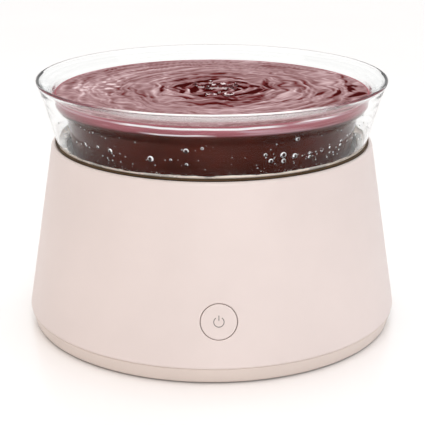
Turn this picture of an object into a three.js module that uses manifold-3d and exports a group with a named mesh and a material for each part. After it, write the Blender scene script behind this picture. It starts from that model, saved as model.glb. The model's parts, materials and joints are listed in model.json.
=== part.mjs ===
// A round paraffin wax bath: a conical housing with a heated well, and a double-walled glass bowl
// of wax that lifts out of it. Millimetres, +Z up, the push button at the front (-Y) and the mains
// inlet at the rear (+Y). The origin is on the surface that the feet stand on, under the axis.
import * as THREE from 'three';
import { mergeVertices } from 'three/addons/utils/BufferGeometryUtils.js';
import Module from 'manifold-3d';

const wasm = await Module();
wasm.setup();

// ---------------------------------------------------------------- driving dimensions

const GAP = 0.3;                   // between two pieces that rest on each other
const ROUND = 40;                  // facets round the large turned pieces, all in one phase
const INNER_ROUND = 32;            // facets round the turned pieces under the well
const DEG = Math.PI / 180;

const FOOT_PROUD = 1;              // how far the rubber feet stand below the tray
const TRAY_BOTTOM_R = 122.4;
const TRAY_FLOOR = 2.4;

const SEAM_Z = 10.4;               // where the housing meets the base tray
const SEAM_R = 125.3;
const HOUSING_SLOPE = 0.1612;      // how much the cone narrows for each millimetre of height
const HOUSING_WALL = 3;
const LIP_TOP_Z = 122.4;
const LIP_INNER_R = 103.6;
const LEDGE_TOP_Z = 115;           // the shelf in the mouth that carries the well
const LEDGE_INNER_R = 98.3;
const GASKET_INNER_R = 97;
const GASKET_BEAD_R = 104.6;       // the bead that lies over the lip's inner edge
const GASKET_TOP_Z = 124.1;

const POT_WALL = 1.6;
const POT_FLOOR_Z = 59;            // inside, at the bottom of the wax
const POT_FLOOR_R = 75;
const POT_CORNER_R = 16;
const RIM_Z = 165.5;
const RIM_R = 115.8;
const RIM_ROUND = 1;
const SKIRT_WALL = 1.6;
const SKIRT_TOP = [111.1, 151.9];  // radius and height where the skirt starts to flare to the rim
const HEEL_CENTRE = [99.4, 126.1];
const HEEL_R = 4.5;
const HEEL_LEAN = 15;              // the skirt's lean from the vertical, in degrees
const WAX_TOP_Z = 155.8;

const WELL_WALL = 1.5;
const WELL_INNER_R = 96.3;
const WELL_CORNER_R = 19;
const PLATE_R = 70;
const PLATE_THICK = 7;
const ELEMENT_RING_R = 50;
const ELEMENT_TUBE_R = 3.2;
const PAD_THICK = 5.8;
const SHEET = 1.2;                 // sheet steel of the clamp and the heat shield
const SHIELD_R = 77;

const BUTTON_Z = 39.5;
const BUTTON_R = 11;
const BUTTON_SEAM = 0.45;
const BUTTON_TRAVEL = 1.2;

const INLET_Z = 33;                // a three-pin appliance inlet, 24 x 17 inside
const INLET_FLANGE = [30, 24, 2];
const INLET_BODY = [27, 20, 17.5];
const INLET_CAVITY = [24, 17, 15.6];

const BOARD_CENTRE = [0, -65];
const BOARD_SIZE = [80, 46, 1.6];
const BOARD_Z = 9;

// ---------------------------------------------------------------- heights worked out from them

const TRAY_Z = FOOT_PROUD;
const FLOOR_Z = TRAY_Z + TRAY_FLOOR;
const POT_BOTTOM_Z = POT_FLOOR_Z - POT_WALL;
const WELL_FLOOR_Z = POT_BOTTOM_Z - GAP;
const PLATE_TOP_Z = WELL_FLOOR_Z - WELL_WALL - GAP;
const PLATE_Z = PLATE_TOP_Z - PLATE_THICK;
const CLAMP_TOP_Z = PLATE_Z - ELEMENT_TUBE_R - GAP;
const CLAMP_Z = CLAMP_TOP_Z - SHEET;
const PAD_TOP_Z = CLAMP_Z - GAP;
const PAD_Z = PAD_TOP_Z - PAD_THICK;
const SHIELD_TOP_Z = PAD_Z - GAP;
const SHIELD_Z = SHIELD_TOP_Z - SHEET;
const FLANGE_TOP_Z = LEDGE_TOP_Z + GAP + WELL_WALL;

const coneRadius = z => SEAM_R - HOUSING_SLOPE * (z - SEAM_Z);
const CONE_LEAN = Math.atan(HOUSING_SLOPE);

// ---------------------------------------------------------------- materials

const finish = (color, roughness, metalness = 0, more = {}) =>
  new THREE.MeshStandardMaterial({ color, roughness, metalness, ...more });

const MATERIALS = {
  shell: finish(0xecdcd6, 0.42),
  tray: finish(0xd9ccc2, 0.5),
  button: finish(0xecdcd6, 0.4),
  rubber: finish(0x3a3330, 0.85),
  gasket: finish(0x33261f, 0.6),
  glass: finish(0xf2f7f8, 0.04, 0, { transparent: true, opacity: 0.3 }),
  wax: finish(0x6d2430, 0.15),
  aluminium: finish(0xc4c6c8, 0.4, 1),
  steel: finish(0xa9abad, 0.45, 1),
  brass: finish(0xc9a455, 0.35, 1),
  felt: finish(0xe6e1d5, 0.95),
  board: finish(0x2c6b3f, 0.5),
  blackPlastic: finish(0x1b1b1d, 0.5),
  bluePlastic: finish(0x2f6fb0, 0.45),
  whitePlastic: finish(0xe8e6e0, 0.5),
  brownWire: finish(0x6b4226, 0.6),
  blueWire: finish(0x2a59a8, 0.6),
  earthWire: finish(0x8fae2a, 0.6),
  whiteWire: finish(0xdedbd4, 0.6),
  greyWire: finish(0x77787b, 0.6),
};

// ---------------------------------------------------------------- solids

const group = new THREE.Group();

/** Keeps positions only, joins shared corners, drops collapsed triangles and turns the faces out. */
function closed(geometry) {
  const bare = geometry.clone();
  bare.deleteAttribute('normal');
  bare.deleteAttribute('uv');
  const merged = mergeVertices(bare, 1e-4);
  const position = merged.attributes.position;
  const corner = [0, 1, 2].map(() => new THREE.Vector3());
  const triangles = [];
  let volume = 0;
  for (let i = 0; i < merged.index.count; i += 3) {
    const ids = [0, 1, 2].map(k => merged.index.getX(i + k));
    if (new Set(ids).size < 3) continue;
    ids.forEach((id, k) => corner[k].fromBufferAttribute(position, id));
    volume += corner[0].dot(corner[1].clone().cross(corner[2]));
    triangles.push(ids);
  }
  if (volume < 0) triangles.forEach(ids => ids.reverse());
  const result = new THREE.BufferGeometry();
  result.setAttribute('position', position);
  result.setIndex(triangles.flat());
  return result;
}

function toSolid(geometry) {
  const whole = closed(geometry);
  return new wasm.Manifold(new wasm.Mesh({
    numProp: 3,
    vertProperties: Float32Array.from(whole.attributes.position.array),
    triVerts: Uint32Array.from(whole.index.array),
  }));
}

function toGeometry(solid) {
  const mesh = solid.getMesh();
  const geometry = new THREE.BufferGeometry();
  geometry.setAttribute('position', new THREE.BufferAttribute(mesh.vertProperties, 3));
  geometry.setIndex(new THREE.BufferAttribute(mesh.triVerts, 1));
  return geometry;
}

const join = (...geometries) =>
  toGeometry(geometries.map(toSolid).reduce((whole, piece) => whole.add(piece)));
const cut = (geometry, ...tools) =>
  toGeometry(tools.map(toSolid).reduce((rest, tool) => rest.subtract(tool), toSolid(geometry)));
const common = (a, b) => toGeometry(toSolid(a).intersect(toSolid(b)));

/** Turns a profile of [radius, height] points about +Z. */
function lathe(profile, facets = ROUND) {
  const points = profile.map(([r, z]) => new THREE.Vector2(r, z));
  return new THREE.LatheGeometry(points, facets).rotateX(Math.PI / 2);
}

/** A turned ring: its profile closes on itself away from the axis. */
const ring = (profile, facets = ROUND) => lathe([...profile, profile[0]], facets);

function flatRing(innerR, outerR, bottom, top, facets = INNER_ROUND) {
  return ring([[innerR, bottom], [outerR, bottom], [outerR, top], [innerR, top]], facets);
}

/** Points of a quarter turn or less, from and to in degrees, as [radius, height]. */
function arc([r, z], radius, from, to, steps) {
  return Array.from({ length: steps + 1 }, (_, i) => {
    const angle = (from + (to - from) * i / steps) * DEG;
    return [r + radius * Math.cos(angle), z + radius * Math.sin(angle)];
  });
}

/** A profile moved sideways by a distance, to the right of its direction of travel. */
function offset(profile, distance) {
  return profile.map((point, i) => {
    const before = profile[Math.max(i - 1, 0)];
    const after = profile[Math.min(i + 1, profile.length - 1)];
    const along = new THREE.Vector2(after[0] - before[0], after[1] - before[1]).normalize();
    return [point[0] + along.y * distance, point[1] - along.x * distance];
  });
}

function disc(radius, bottom, top, [x, y] = [0, 0], facets = 24) {
  const height = top - bottom;
  return new THREE.CylinderGeometry(radius, radius, height, facets)
    .rotateX(Math.PI / 2)
    .translate(x, y, bottom + height / 2);
}

const box = ([x, y, z], [cx, cy, cz]) => new THREE.BoxGeometry(x, y, z).translate(cx, cy, cz);

/** A round tube along a smooth curve through the points. */
function tube(points, radius, steps, sides = 6) {
  const section = new THREE.Shape(Array.from({ length: sides }, (_, i) => new THREE.Vector2(
    radius * Math.cos(2 * Math.PI * i / sides),
    radius * Math.sin(2 * Math.PI * i / sides),
  )));
  const path = new THREE.CatmullRomCurve3(points.map(p => new THREE.Vector3(...p)));
  return new THREE.ExtrudeGeometry(section, { steps, extrudePath: path, bevelEnabled: false });
}

/** An open coil about +Z with its end turns standing between bottom and top. */
function coil(radius, wire, bottom, top, turns) {
  const stepsEachTurn = 10;
  const count = turns * stepsEachTurn;
  const points = Array.from({ length: count + 1 }, (_, i) => {
    const angle = 2 * Math.PI * i / stepsEachTurn;
    const height = bottom + wire + (top - bottom - 2 * wire) * i / count;
    return [radius * Math.cos(angle), radius * Math.sin(angle), height];
  });
  return tube(points, wire, count, 5);
}

function outline(points) {
  return new THREE.Shape(points.map(([x, y]) => new THREE.Vector2(x, y)));
}

/** A flat outline made thick, starting at z = 0. */
const slab = (shape, depth) => new THREE.ExtrudeGeometry(shape, { depth, bevelEnabled: false });

function add(name, geometry, material, parent = group) {
  const mesh = new THREE.Mesh(closed(geometry), MATERIALS[material]);
  mesh.name = name;
  parent.add(mesh);
  return mesh;
}

/** Positions at the four diagonals, at one distance from the axis. */
const diagonals = radius => [45, 135, 225, 315].map(angle => [
  radius * Math.cos(angle * DEG),
  radius * Math.sin(angle * DEG),
]);

// ---------------------------------------------------------------- push button frame

// The button's own frame stands on the cone at the front: +Z out of the wall, +Y up the slope.
const buttonFrame = new THREE.Group();
buttonFrame.position.set(0, -coneRadius(BUTTON_Z), BUTTON_Z);
buttonFrame.rotation.x = Math.PI / 2 - CONE_LEAN;
buttonFrame.updateMatrixWorld(true);
group.add(buttonFrame);

const intoButtonFrame = geometry => geometry.clone().applyMatrix4(buttonFrame.matrixWorld.clone().invert());
const fromButtonFrame = geometry => geometry.clone().applyMatrix4(buttonFrame.matrixWorld);

// ---------------------------------------------------------------- housing

const SCREW_CIRCLE_R = 115.5;
const screwPlaces = diagonals(SCREW_CIRCLE_R);
const POST_R = 4.5;
const POST_Z = 15.2;
const POST_TOP_Z = 34;
const PILOT_R = 1.8;
const SCREW_CLEARANCE_R = 1.9;
const PILOT_TOP_Z = 29;
const INLET_FACE_Y = 118.6;
const POCKET_Y = INLET_FACE_Y - INLET_FLANGE[2] - GAP;

const LIP_OUTER_ROUND = 2.2;
const LIP_INNER_ROUND = 1.2;
const SEAM_ROUND = 0.8;
const WEB_THICK = 3;
const POCKET_BLOCK = [36, 14, 30]; // the thickened wall round the inlet

const outerCone = [
  [SEAM_R - SEAM_ROUND, SEAM_Z],
  [SEAM_R - 0.25, SEAM_Z + 0.25],
  [coneRadius(SEAM_Z + SEAM_ROUND), SEAM_Z + SEAM_ROUND],
  ...arc([coneRadius(LIP_TOP_Z) - LIP_OUTER_ROUND, LIP_TOP_Z - LIP_OUTER_ROUND], LIP_OUTER_ROUND, 9, 90, 3),
];

function housingShell() {
  const body = ring([
    ...outerCone,
    ...arc([LIP_INNER_R + LIP_INNER_ROUND, LIP_TOP_Z - LIP_INNER_ROUND], LIP_INNER_ROUND, 90, 180, 2),
    [LIP_INNER_R, LEDGE_TOP_Z],
    [LEDGE_INNER_R, LEDGE_TOP_Z],
    [LEDGE_INNER_R, LEDGE_TOP_Z - 3],
    [coneRadius(LEDGE_TOP_Z - 8) - HOUSING_WALL, LEDGE_TOP_Z - 8],
    [SEAM_R - HOUSING_WALL, SEAM_Z],
  ]);
  const posts = screwPlaces.map(place => disc(POST_R, POST_Z, POST_TOP_Z, place, 16));
  const webs = [45, 135, 225, 315].map(angle => {
    const reach = coneRadius(POST_TOP_Z) - HOUSING_WALL / 2 - SCREW_CIRCLE_R;
    return box([reach, WEB_THICK, POST_TOP_Z - POST_Z], [
      SCREW_CIRCLE_R + reach / 2, 0, (POST_TOP_Z + POST_Z) / 2,
    ]).rotateZ(angle * DEG);
  });
  const pocketHousing = common(
    box(POCKET_BLOCK, [0, POCKET_Y + POCKET_BLOCK[1] / 4, INLET_Z]),
    lathe([[0, SEAM_Z], ...outerCone, [0, LIP_TOP_Z]]),
  );
  const buttonHole = fromButtonFrame(disc(BUTTON_R + BUTTON_SEAM, -8, 4, [0, 0], 28));
  return cut(
    join(body, ...posts, ...webs, pocketHousing),
    ...screwPlaces.map(place => disc(PILOT_R, POST_Z - 1, PILOT_TOP_Z, place, 12)),
    box([INLET_FLANGE[0] + 2 * GAP, 20, INLET_FLANGE[1] + 2 * GAP], [0, POCKET_Y + 10, INLET_Z]),
    box([INLET_BODY[0] + 2 * GAP, 20, INLET_BODY[1] + 2 * GAP], [0, POCKET_Y, INLET_Z]),
    buttonHole,
  );
}

function mouthGasket() {
  const outerR = LIP_INNER_R - GAP;
  const seatZ = HEEL_CENTRE[1] - HEEL_R - GAP;
  const seatR = HEEL_R + GAP;
  const lastAngle = Math.asin((GASKET_TOP_Z - HEEL_CENTRE[1]) / seatR) / DEG;
  return ring([
    [GASKET_INNER_R, FLANGE_TOP_Z + GAP],
    [outerR, FLANGE_TOP_Z + GAP],
    [outerR, LIP_TOP_Z + GAP],
    [GASKET_BEAD_R, LIP_TOP_Z + GAP],
    [GASKET_BEAD_R, GASKET_TOP_Z - 0.3],
    [GASKET_BEAD_R - 0.3, GASKET_TOP_Z],
    ...arc(HEEL_CENTRE, seatR, lastAngle, -90, 3),
    [GASKET_INNER_R, seatZ],
  ]);
}

add('housing_shell', housingShell(), 'shell');
add('mouth_gasket', mouthGasket(), 'gasket');

// ---------------------------------------------------------------- base tray, feet and screws

const REGISTER_R = 121;
const FOOT_CIRCLE_R = 98;
const footPlaces = diagonals(FOOT_CIRCLE_R);
const FOOT_R = 7;
const FOOT_THICK = 2;
const SCREW_HEAD_Z = TRAY_Z + 1;
const HEAD_POCKET_R = 3.5;
const STANDOFF_R = 3;
const BOARD_PILOT_R = 1.5;
const VENTS = { count: 9, slot: [3, 26], pitch: 9, y: 20 };

const boardHoles = [[-1, -1], [1, -1], [1, 1], [-1, 1]].map(([x, y]) => [
  BOARD_CENTRE[0] + x * (BOARD_SIZE[0] / 2 - 4),
  BOARD_CENTRE[1] + y * (BOARD_SIZE[1] / 2 - 4),
]);

function baseTray() {
  const dish = lathe([
    [0, TRAY_Z],
    [TRAY_BOTTOM_R - 1, TRAY_Z],
    [TRAY_BOTTOM_R, TRAY_Z + 0.9],
    [SEAM_R - 0.5, SEAM_Z - GAP - 0.6],
    [SEAM_R - 0.9, SEAM_Z - GAP],
    [REGISTER_R, SEAM_Z - GAP],
    [REGISTER_R, POST_Z - 0.4],
    [REGISTER_R - 1.8, POST_Z - 0.4],
    [REGISTER_R - 1.8, FLOOR_Z],
    [0, FLOOR_Z],
  ]);
  const bosses = screwPlaces.map(place => disc(POST_R, TRAY_Z + 1, POST_Z - 0.4, place, 12));
  const footPads = footPlaces.map(place => disc(FOOT_R + 2, TRAY_Z + 1, FLOOR_Z + 1, place, 12));
  const standoffs = boardHoles.map(place => disc(STANDOFF_R, TRAY_Z + 1, BOARD_Z - GAP, place, 10));
  const vents = Array.from({ length: VENTS.count }, (_, i) =>
    box([...VENTS.slot, 12], [(i - (VENTS.count - 1) / 2) * VENTS.pitch, VENTS.y, TRAY_Z]));
  return cut(
    join(dish, ...bosses, ...footPads, ...standoffs),
    ...screwPlaces.map(place => disc(HEAD_POCKET_R, TRAY_Z - 1, SCREW_HEAD_Z + 2.6, place, 12)),
    ...screwPlaces.map(place => disc(SCREW_CLEARANCE_R, TRAY_Z, POST_Z + 1, place, 10)),
    ...footPlaces.map(place => disc(FOOT_R + GAP, TRAY_Z - 1, FOOT_THICK + GAP, place, 16)),
    ...boardHoles.map(place => disc(BOARD_PILOT_R, FLOOR_Z, BOARD_Z + 1, place, 8)),
    ...vents,
  );
}

function foot([x, y]) {
  return lathe([[0, 0], [FOOT_R - 0.8, 0], [FOOT_R, 0.8], [FOOT_R, FOOT_THICK], [0, FOOT_THICK]], 16)
    .translate(x, y, 0);
}

/** A pan-head screw standing on +Z, head down, with its head's underside at z = 0. */
function screw(headR, headThick, shankR, length) {
  return lathe([
    [0, -headThick],
    [headR * 0.8, -headThick],
    [headR, -headThick * 0.5],
    [headR, 0],
    [shankR, 0],
    [shankR, length - 1],
    [0, length],
  ], 10);
}

add('base_tray', baseTray(), 'tray');
footPlaces.forEach((place, i) => add(`foot_${i + 1}`, foot(place), 'rubber'));
screwPlaces.forEach(([x, y], i) => {
  const headTop = SCREW_HEAD_Z + 2.3;
  const length = PILOT_TOP_Z - 1 - headTop;
  add(`base_screw_${i + 1}`, screw(3, 2.2, 1.5, length).translate(x, y, headTop), 'steel');
});

// ---------------------------------------------------------------- heated well

const WELL_HOLE_R = 10;
const SHIELD_SCREW_R = 64;
const shieldScrewPlaces = [30, 150, 270].map(angle => [
  SHIELD_SCREW_R * Math.cos(angle * DEG),
  SHIELD_SCREW_R * Math.sin(angle * DEG),
]);
const LEG_ANGLE = 8 * DEG;
const LEG_Y = ELEMENT_RING_R * Math.cos(LEG_ANGLE);
const LEG_X = ELEMENT_RING_R * Math.sin(LEG_ANGLE);
const LEG_BOTTOM_Z = SHIELD_Z - 4;
const LEG_SLOT = [26, 11];
const CLAMP_R = [38, 68];
const PAD_R = [14, 72];
const FUSE_X = -52;
const FUSE_R = 2;
const FUSE_LENGTH = 12;
const FUSE_WINDOW = [14, 20];

const shieldScrewHoles = (bottom, top) =>
  shieldScrewPlaces.map(place => disc(SCREW_CLEARANCE_R, bottom, top, place, 8));

function wellLiner() {
  const corner = [WELL_INNER_R - WELL_CORNER_R, WELL_FLOOR_Z + WELL_CORNER_R];
  return ring([
    [WELL_HOLE_R, WELL_FLOOR_Z],
    ...arc(corner, WELL_CORNER_R, -90, 0, 4),
    [WELL_INNER_R, FLANGE_TOP_Z],
    [LIP_INNER_R - 0.4, FLANGE_TOP_Z],
    [LIP_INNER_R - 0.4, FLANGE_TOP_Z - WELL_WALL],
    [WELL_INNER_R + WELL_WALL, FLANGE_TOP_Z - WELL_WALL],
    ...arc(corner, WELL_CORNER_R + WELL_WALL, 0, -90, 4),
    [WELL_HOLE_R, WELL_FLOOR_Z - WELL_WALL],
  ]);
}

function heatingPlate() {
  const plate = flatRing(WELL_HOLE_R + 0.3, PLATE_R, PLATE_Z, PLATE_TOP_Z);
  const groove = new THREE.TorusGeometry(ELEMENT_RING_R, ELEMENT_TUBE_R + 0.6, 8, INNER_ROUND)
    .translate(0, 0, PLATE_Z);
  return cut(plate, groove, ...shieldScrewHoles(PLATE_Z - 1, PLATE_TOP_Z - 2));
}

function heaterElement() {
  const side = sign => [
    [sign * LEG_X, LEG_Y, LEG_BOTTOM_Z],
    [sign * LEG_X, LEG_Y, PLATE_Z - 6],
    [sign * LEG_X * 1.15, LEG_Y - 0.2, PLATE_Z - 2.2],
  ];
  const turn = Array.from({ length: 23 }, (_, i) => {
    const angle = (15 + 15 * i) * DEG;
    return [ELEMENT_RING_R * Math.sin(angle), ELEMENT_RING_R * Math.cos(angle), PLATE_Z];
  });
  return tube([...side(1), ...turn, ...side(-1).reverse()], ELEMENT_TUBE_R, 52, 6);
}

const legSlot = (bottom, top) => box([...LEG_SLOT, top - bottom + 2], [0, LEG_Y, (top + bottom) / 2]);

function elementClamp() {
  return cut(
    flatRing(...CLAMP_R, CLAMP_Z, CLAMP_TOP_Z),
    legSlot(CLAMP_Z, CLAMP_TOP_Z),
    ...shieldScrewHoles(CLAMP_Z - 1, CLAMP_TOP_Z + 1),
  );
}

function insulationPad() {
  return cut(
    flatRing(...PAD_R, PAD_Z, PAD_TOP_Z),
    legSlot(PAD_Z, PAD_TOP_Z),
    box([...FUSE_WINDOW, PAD_THICK + 2], [FUSE_X, 0, PAD_Z + PAD_THICK / 2]),
    ...shieldScrewHoles(PAD_Z - 1, PAD_TOP_Z + 1),
  );
}

function heatShield() {
  const dish = ring([
    [3, SHIELD_Z], [SHIELD_R, SHIELD_Z], [SHIELD_R, PLATE_Z + 3],
    [SHIELD_R - SHEET, PLATE_Z + 3], [SHIELD_R - SHEET, SHIELD_TOP_Z], [3, SHIELD_TOP_Z],
  ], INNER_ROUND);
  return cut(dish, legSlot(SHIELD_Z, SHIELD_TOP_Z), ...shieldScrewHoles(SHIELD_Z - 1, SHIELD_TOP_Z + 1));
}

/** A strap bent over a round fuse, with an ear at each side. */
function fuseClip(fuseZ) {
  const inner = FUSE_R + GAP;
  const thick = 0.8;
  const top = CLAMP_Z - GAP - fuseZ;
  const half = sign => [
    [sign * 5.6, top], [sign * 5.6, top - thick], [sign * (inner + thick), top - thick],
    ...[0, 30, 60].map(angle => [
      sign * (inner + thick) * Math.cos(angle * DEG),
      -(inner + thick) * Math.sin(angle * DEG),
    ]),
  ];
  const inside = [90, 60, 30, 0].map(angle => [
    inner * Math.cos(angle * DEG),
    -inner * Math.sin(angle * DEG),
  ]);
  const strap = outline([
    ...half(1),
    [0, -(inner + thick)],
    ...half(-1).reverse(),
    [-inner, top],
    ...inside.map(([x, z]) => [-x, z]).reverse(),
    ...inside.slice(1),
    [inner, top],
  ]);
  return slab(strap, 5).translate(0, 0, -2.5).rotateX(Math.PI / 2).translate(FUSE_X, 0, fuseZ);
}

const FUSE_Z = CLAMP_Z - GAP - FUSE_R - 0.1;

add('well_liner', wellLiner(), 'aluminium');
add('heating_plate', heatingPlate(), 'aluminium');
add('heater_element', heaterElement(), 'steel');
add('element_clamp', elementClamp(), 'steel');
add('insulation_pad', insulationPad(), 'felt');
add('heat_shield', heatShield(), 'steel');
shieldScrewPlaces.forEach(([x, y], i) => {
  const length = PLATE_TOP_Z - 3 - SHIELD_Z;
  add(`shield_screw_${i + 1}`, screw(3.4, 2.2, 1.5, length).translate(x, y, SHIELD_Z - GAP), 'steel');
});
add(
  'thermal_fuse',
  disc(FUSE_R, -FUSE_LENGTH / 2, FUSE_LENGTH / 2, [0, 0], 10)
    .rotateX(Math.PI / 2)
    .translate(FUSE_X, 0, FUSE_Z),
  'whitePlastic',
);
add('fuse_clip', fuseClip(FUSE_Z), 'steel');

// ---------------------------------------------------------------- spring-loaded temperature sensor

const SENSOR_R = 9.5;
const SENSOR_SPRING_R = 6;
const SENSOR_WIRE_R = 0.45;
const SEAT_TOP_Z = PAD_Z + 2;
const CUP_CROWN_Z = WELL_FLOOR_Z - 1.5;

function sensorCup() {
  return lathe([
    [0, WELL_FLOOR_Z],
    [SENSOR_R - 0.8, WELL_FLOOR_Z],
    [SENSOR_R, WELL_FLOOR_Z - 0.8],
    [SENSOR_R, PLATE_Z - GAP],
    [SENSOR_R + 3, PLATE_Z - GAP],
    [SENSOR_R + 3, PLATE_Z - GAP - SHEET],
    [SENSOR_R - 1, PLATE_Z - GAP - SHEET],
    [SENSOR_R - 1, CUP_CROWN_Z],
    [0, CUP_CROWN_Z],
  ], 20);
}

add('spring_seat', flatRing(2.6, 8, PAD_Z, SEAT_TOP_Z, 16), 'whitePlastic');
add('sensor_cup', sensorCup(), 'aluminium');
add('temperature_probe', disc(2.2, CUP_CROWN_Z - GAP - 4.4, CUP_CROWN_Z - GAP, [0, 0], 10), 'blackPlastic');
add(
  'sensor_spring',
  coil(SENSOR_SPRING_R, SENSOR_WIRE_R, SEAT_TOP_Z + GAP, CUP_CROWN_Z - GAP, 4),
  'steel',
);

// ---------------------------------------------------------------- control board and its parts

const boardTop = BOARD_Z + BOARD_SIZE[2] + GAP;
const onBoard = (size, [x, y]) =>
  box(size, [BOARD_CENTRE[0] + x, BOARD_CENTRE[1] + y, boardTop + size[2] / 2]);
const TERMINAL_SIZE = [32, 9, 10];
const TERMINAL_OFFSET = [0, 17];
const terminalY = BOARD_CENTRE[1] + TERMINAL_OFFSET[1] + TERMINAL_SIZE[1] / 2 + GAP;
const TERMINAL_Z = boardTop + 5;

add(
  'control_board',
  cut(
    box(BOARD_SIZE, [...BOARD_CENTRE, BOARD_Z + BOARD_SIZE[2] / 2]),
    ...boardHoles.map(place => disc(1.6, BOARD_Z - 1, BOARD_Z + 3, place, 12)),
  ),
  'board',
);
boardHoles.forEach(([x, y], i) => {
  const body = screw(2.8, 1.8, 1.2, 5.5).rotateX(Math.PI).translate(x, y, boardTop);
  add(`board_screw_${i + 1}`, body, 'steel');
});
add('relay', onBoard([19, 15.5, 15.7], [23, -2]), 'bluePlastic');
add('supply_transformer', onBoard([24, 21, 17], [-20, -2]), 'blackPlastic');
add(
  'supply_capacitor',
  disc(5, boardTop, boardTop + 12, [BOARD_CENTRE[0] + 2, BOARD_CENTRE[1] - 6], 16),
  'blackPlastic',
);
add('terminal_block', onBoard(TERMINAL_SIZE, TERMINAL_OFFSET), 'whitePlastic');

// ---------------------------------------------------------------- mains inlet

const INLET_BACK_Y = INLET_FACE_Y - INLET_FLANGE[2] - INLET_BODY[2];
const PIN_SIZE = [2, 4];
const PIN_TIP_Y = INLET_FACE_Y - 3;
const PIN_TAIL_Y = INLET_BACK_Y - 7;
const pins = { live: [-7, -2], neutral: [7, -2], earth: [0, 2] };

function powerInlet() {
  const [flangeWide, flangeHigh, flangeThick] = INLET_FLANGE;
  const [bodyWide, bodyHigh, bodyDeep] = INLET_BODY;
  const [wide, high, deep] = INLET_CAVITY;
  const flange = box([flangeWide, flangeThick, flangeHigh], [0, INLET_FACE_Y - flangeThick / 2, INLET_Z]);
  const body = box([bodyWide, bodyDeep + 1, bodyHigh], [0, INLET_BACK_Y + (bodyDeep + 1) / 2, INLET_Z]);
  const bevel = 4;
  const mouth = outline([
    [-wide / 2, -high / 2],
    [wide / 2, -high / 2],
    [wide / 2, high / 2 - bevel],
    [wide / 2 - bevel, high / 2],
    [-wide / 2 + bevel, high / 2],
    [-wide / 2, high / 2 - bevel],
  ]);
  const cavity = slab(mouth, deep + 1).rotateX(Math.PI / 2).translate(0, INLET_FACE_Y + 1, INLET_Z);
  const slots = Object.values(pins).map(([x, z]) =>
    box([PIN_SIZE[0] + 2 * GAP, 10, PIN_SIZE[1] + 2 * GAP], [x, INLET_BACK_Y, INLET_Z + z]));
  return cut(join(flange, body), cavity, ...slots);
}

add('power_inlet', powerInlet(), 'blackPlastic');
Object.entries(pins).forEach(([name, [x, z]]) => {
  const blade = box([PIN_SIZE[0], PIN_TIP_Y - PIN_TAIL_Y, PIN_SIZE[1]], [
    x, (PIN_TIP_Y + PIN_TAIL_Y) / 2, INLET_Z + z,
  ]);
  add(`inlet_pin_${name}`, blade, 'brass');
});

// ---------------------------------------------------------------- push button

// In the button's frame: heights run from the wall's outer surface at 0 to the board behind it.
const BUTTON_COLLAR = [-4.2, -5.1];
const STEM_END = -8;
const SWITCH_TOP = STEM_END - BUTTON_TRAVEL - 0.25;
const SLEEVE_BACK = -14;

function buttonCap() {
  const solidHousing = intoButtonFrame(lathe([[0, SEAM_Z], ...outerCone, [0, LIP_TOP_Z]]));
  const face = common(disc(BUTTON_R, -3.6, 4, [0, 0], 28), solidHousing);
  const collar = disc(BUTTON_R + 1.8, BUTTON_COLLAR[1], BUTTON_COLLAR[0], [0, 0], 28);
  const neck = disc(BUTTON_R - 1, BUTTON_COLLAR[1] + 0.4, -3, [0, 0], 20);
  const stem = disc(2.5, STEM_END, BUTTON_COLLAR[1] + 0.4, [0, 0], 12);
  return join(face, neck, collar, stem);
}

function buttonSleeve() {
  const outerR = BUTTON_R + 4.2;
  const tubeWall = flatRing(BUTTON_R + 2.4, outerR, SLEEVE_BACK, -1, 24);
  const outsideR = 2 * SEAM_R;
  const housingWall = intoButtonFrame(ring([
    [outsideR, SEAM_Z],
    [outsideR, LIP_TOP_Z],
    [coneRadius(LIP_TOP_Z) - HOUSING_WALL - GAP, LIP_TOP_Z],
    [SEAM_R - HOUSING_WALL - GAP, SEAM_Z],
  ]));
  return cut(tubeWall, housingWall);
}

add('button_cap', buttonCap(), 'button', buttonFrame);
add('button_sleeve', buttonSleeve(), 'blackPlastic', buttonFrame);
add('button_spring', coil(8, 0.4, SLEEVE_BACK, BUTTON_COLLAR[1] - GAP, 3), 'steel', buttonFrame);
add(
  'switch_board',
  disc(BUTTON_R + 4, SLEEVE_BACK - GAP - 1.6, SLEEVE_BACK - GAP, [0, 0], 24),
  'board',
  buttonFrame,
);
add(
  'tact_switch',
  join(
    box([6, 6, 3.5], [0, 0, SLEEVE_BACK + 1.75]),
    disc(1.7, SLEEVE_BACK + 3, SWITCH_TOP, [0, 0], 10),
  ),
  'blackPlastic',
  buttonFrame,
);

// ---------------------------------------------------------------- internal wiring

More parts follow.
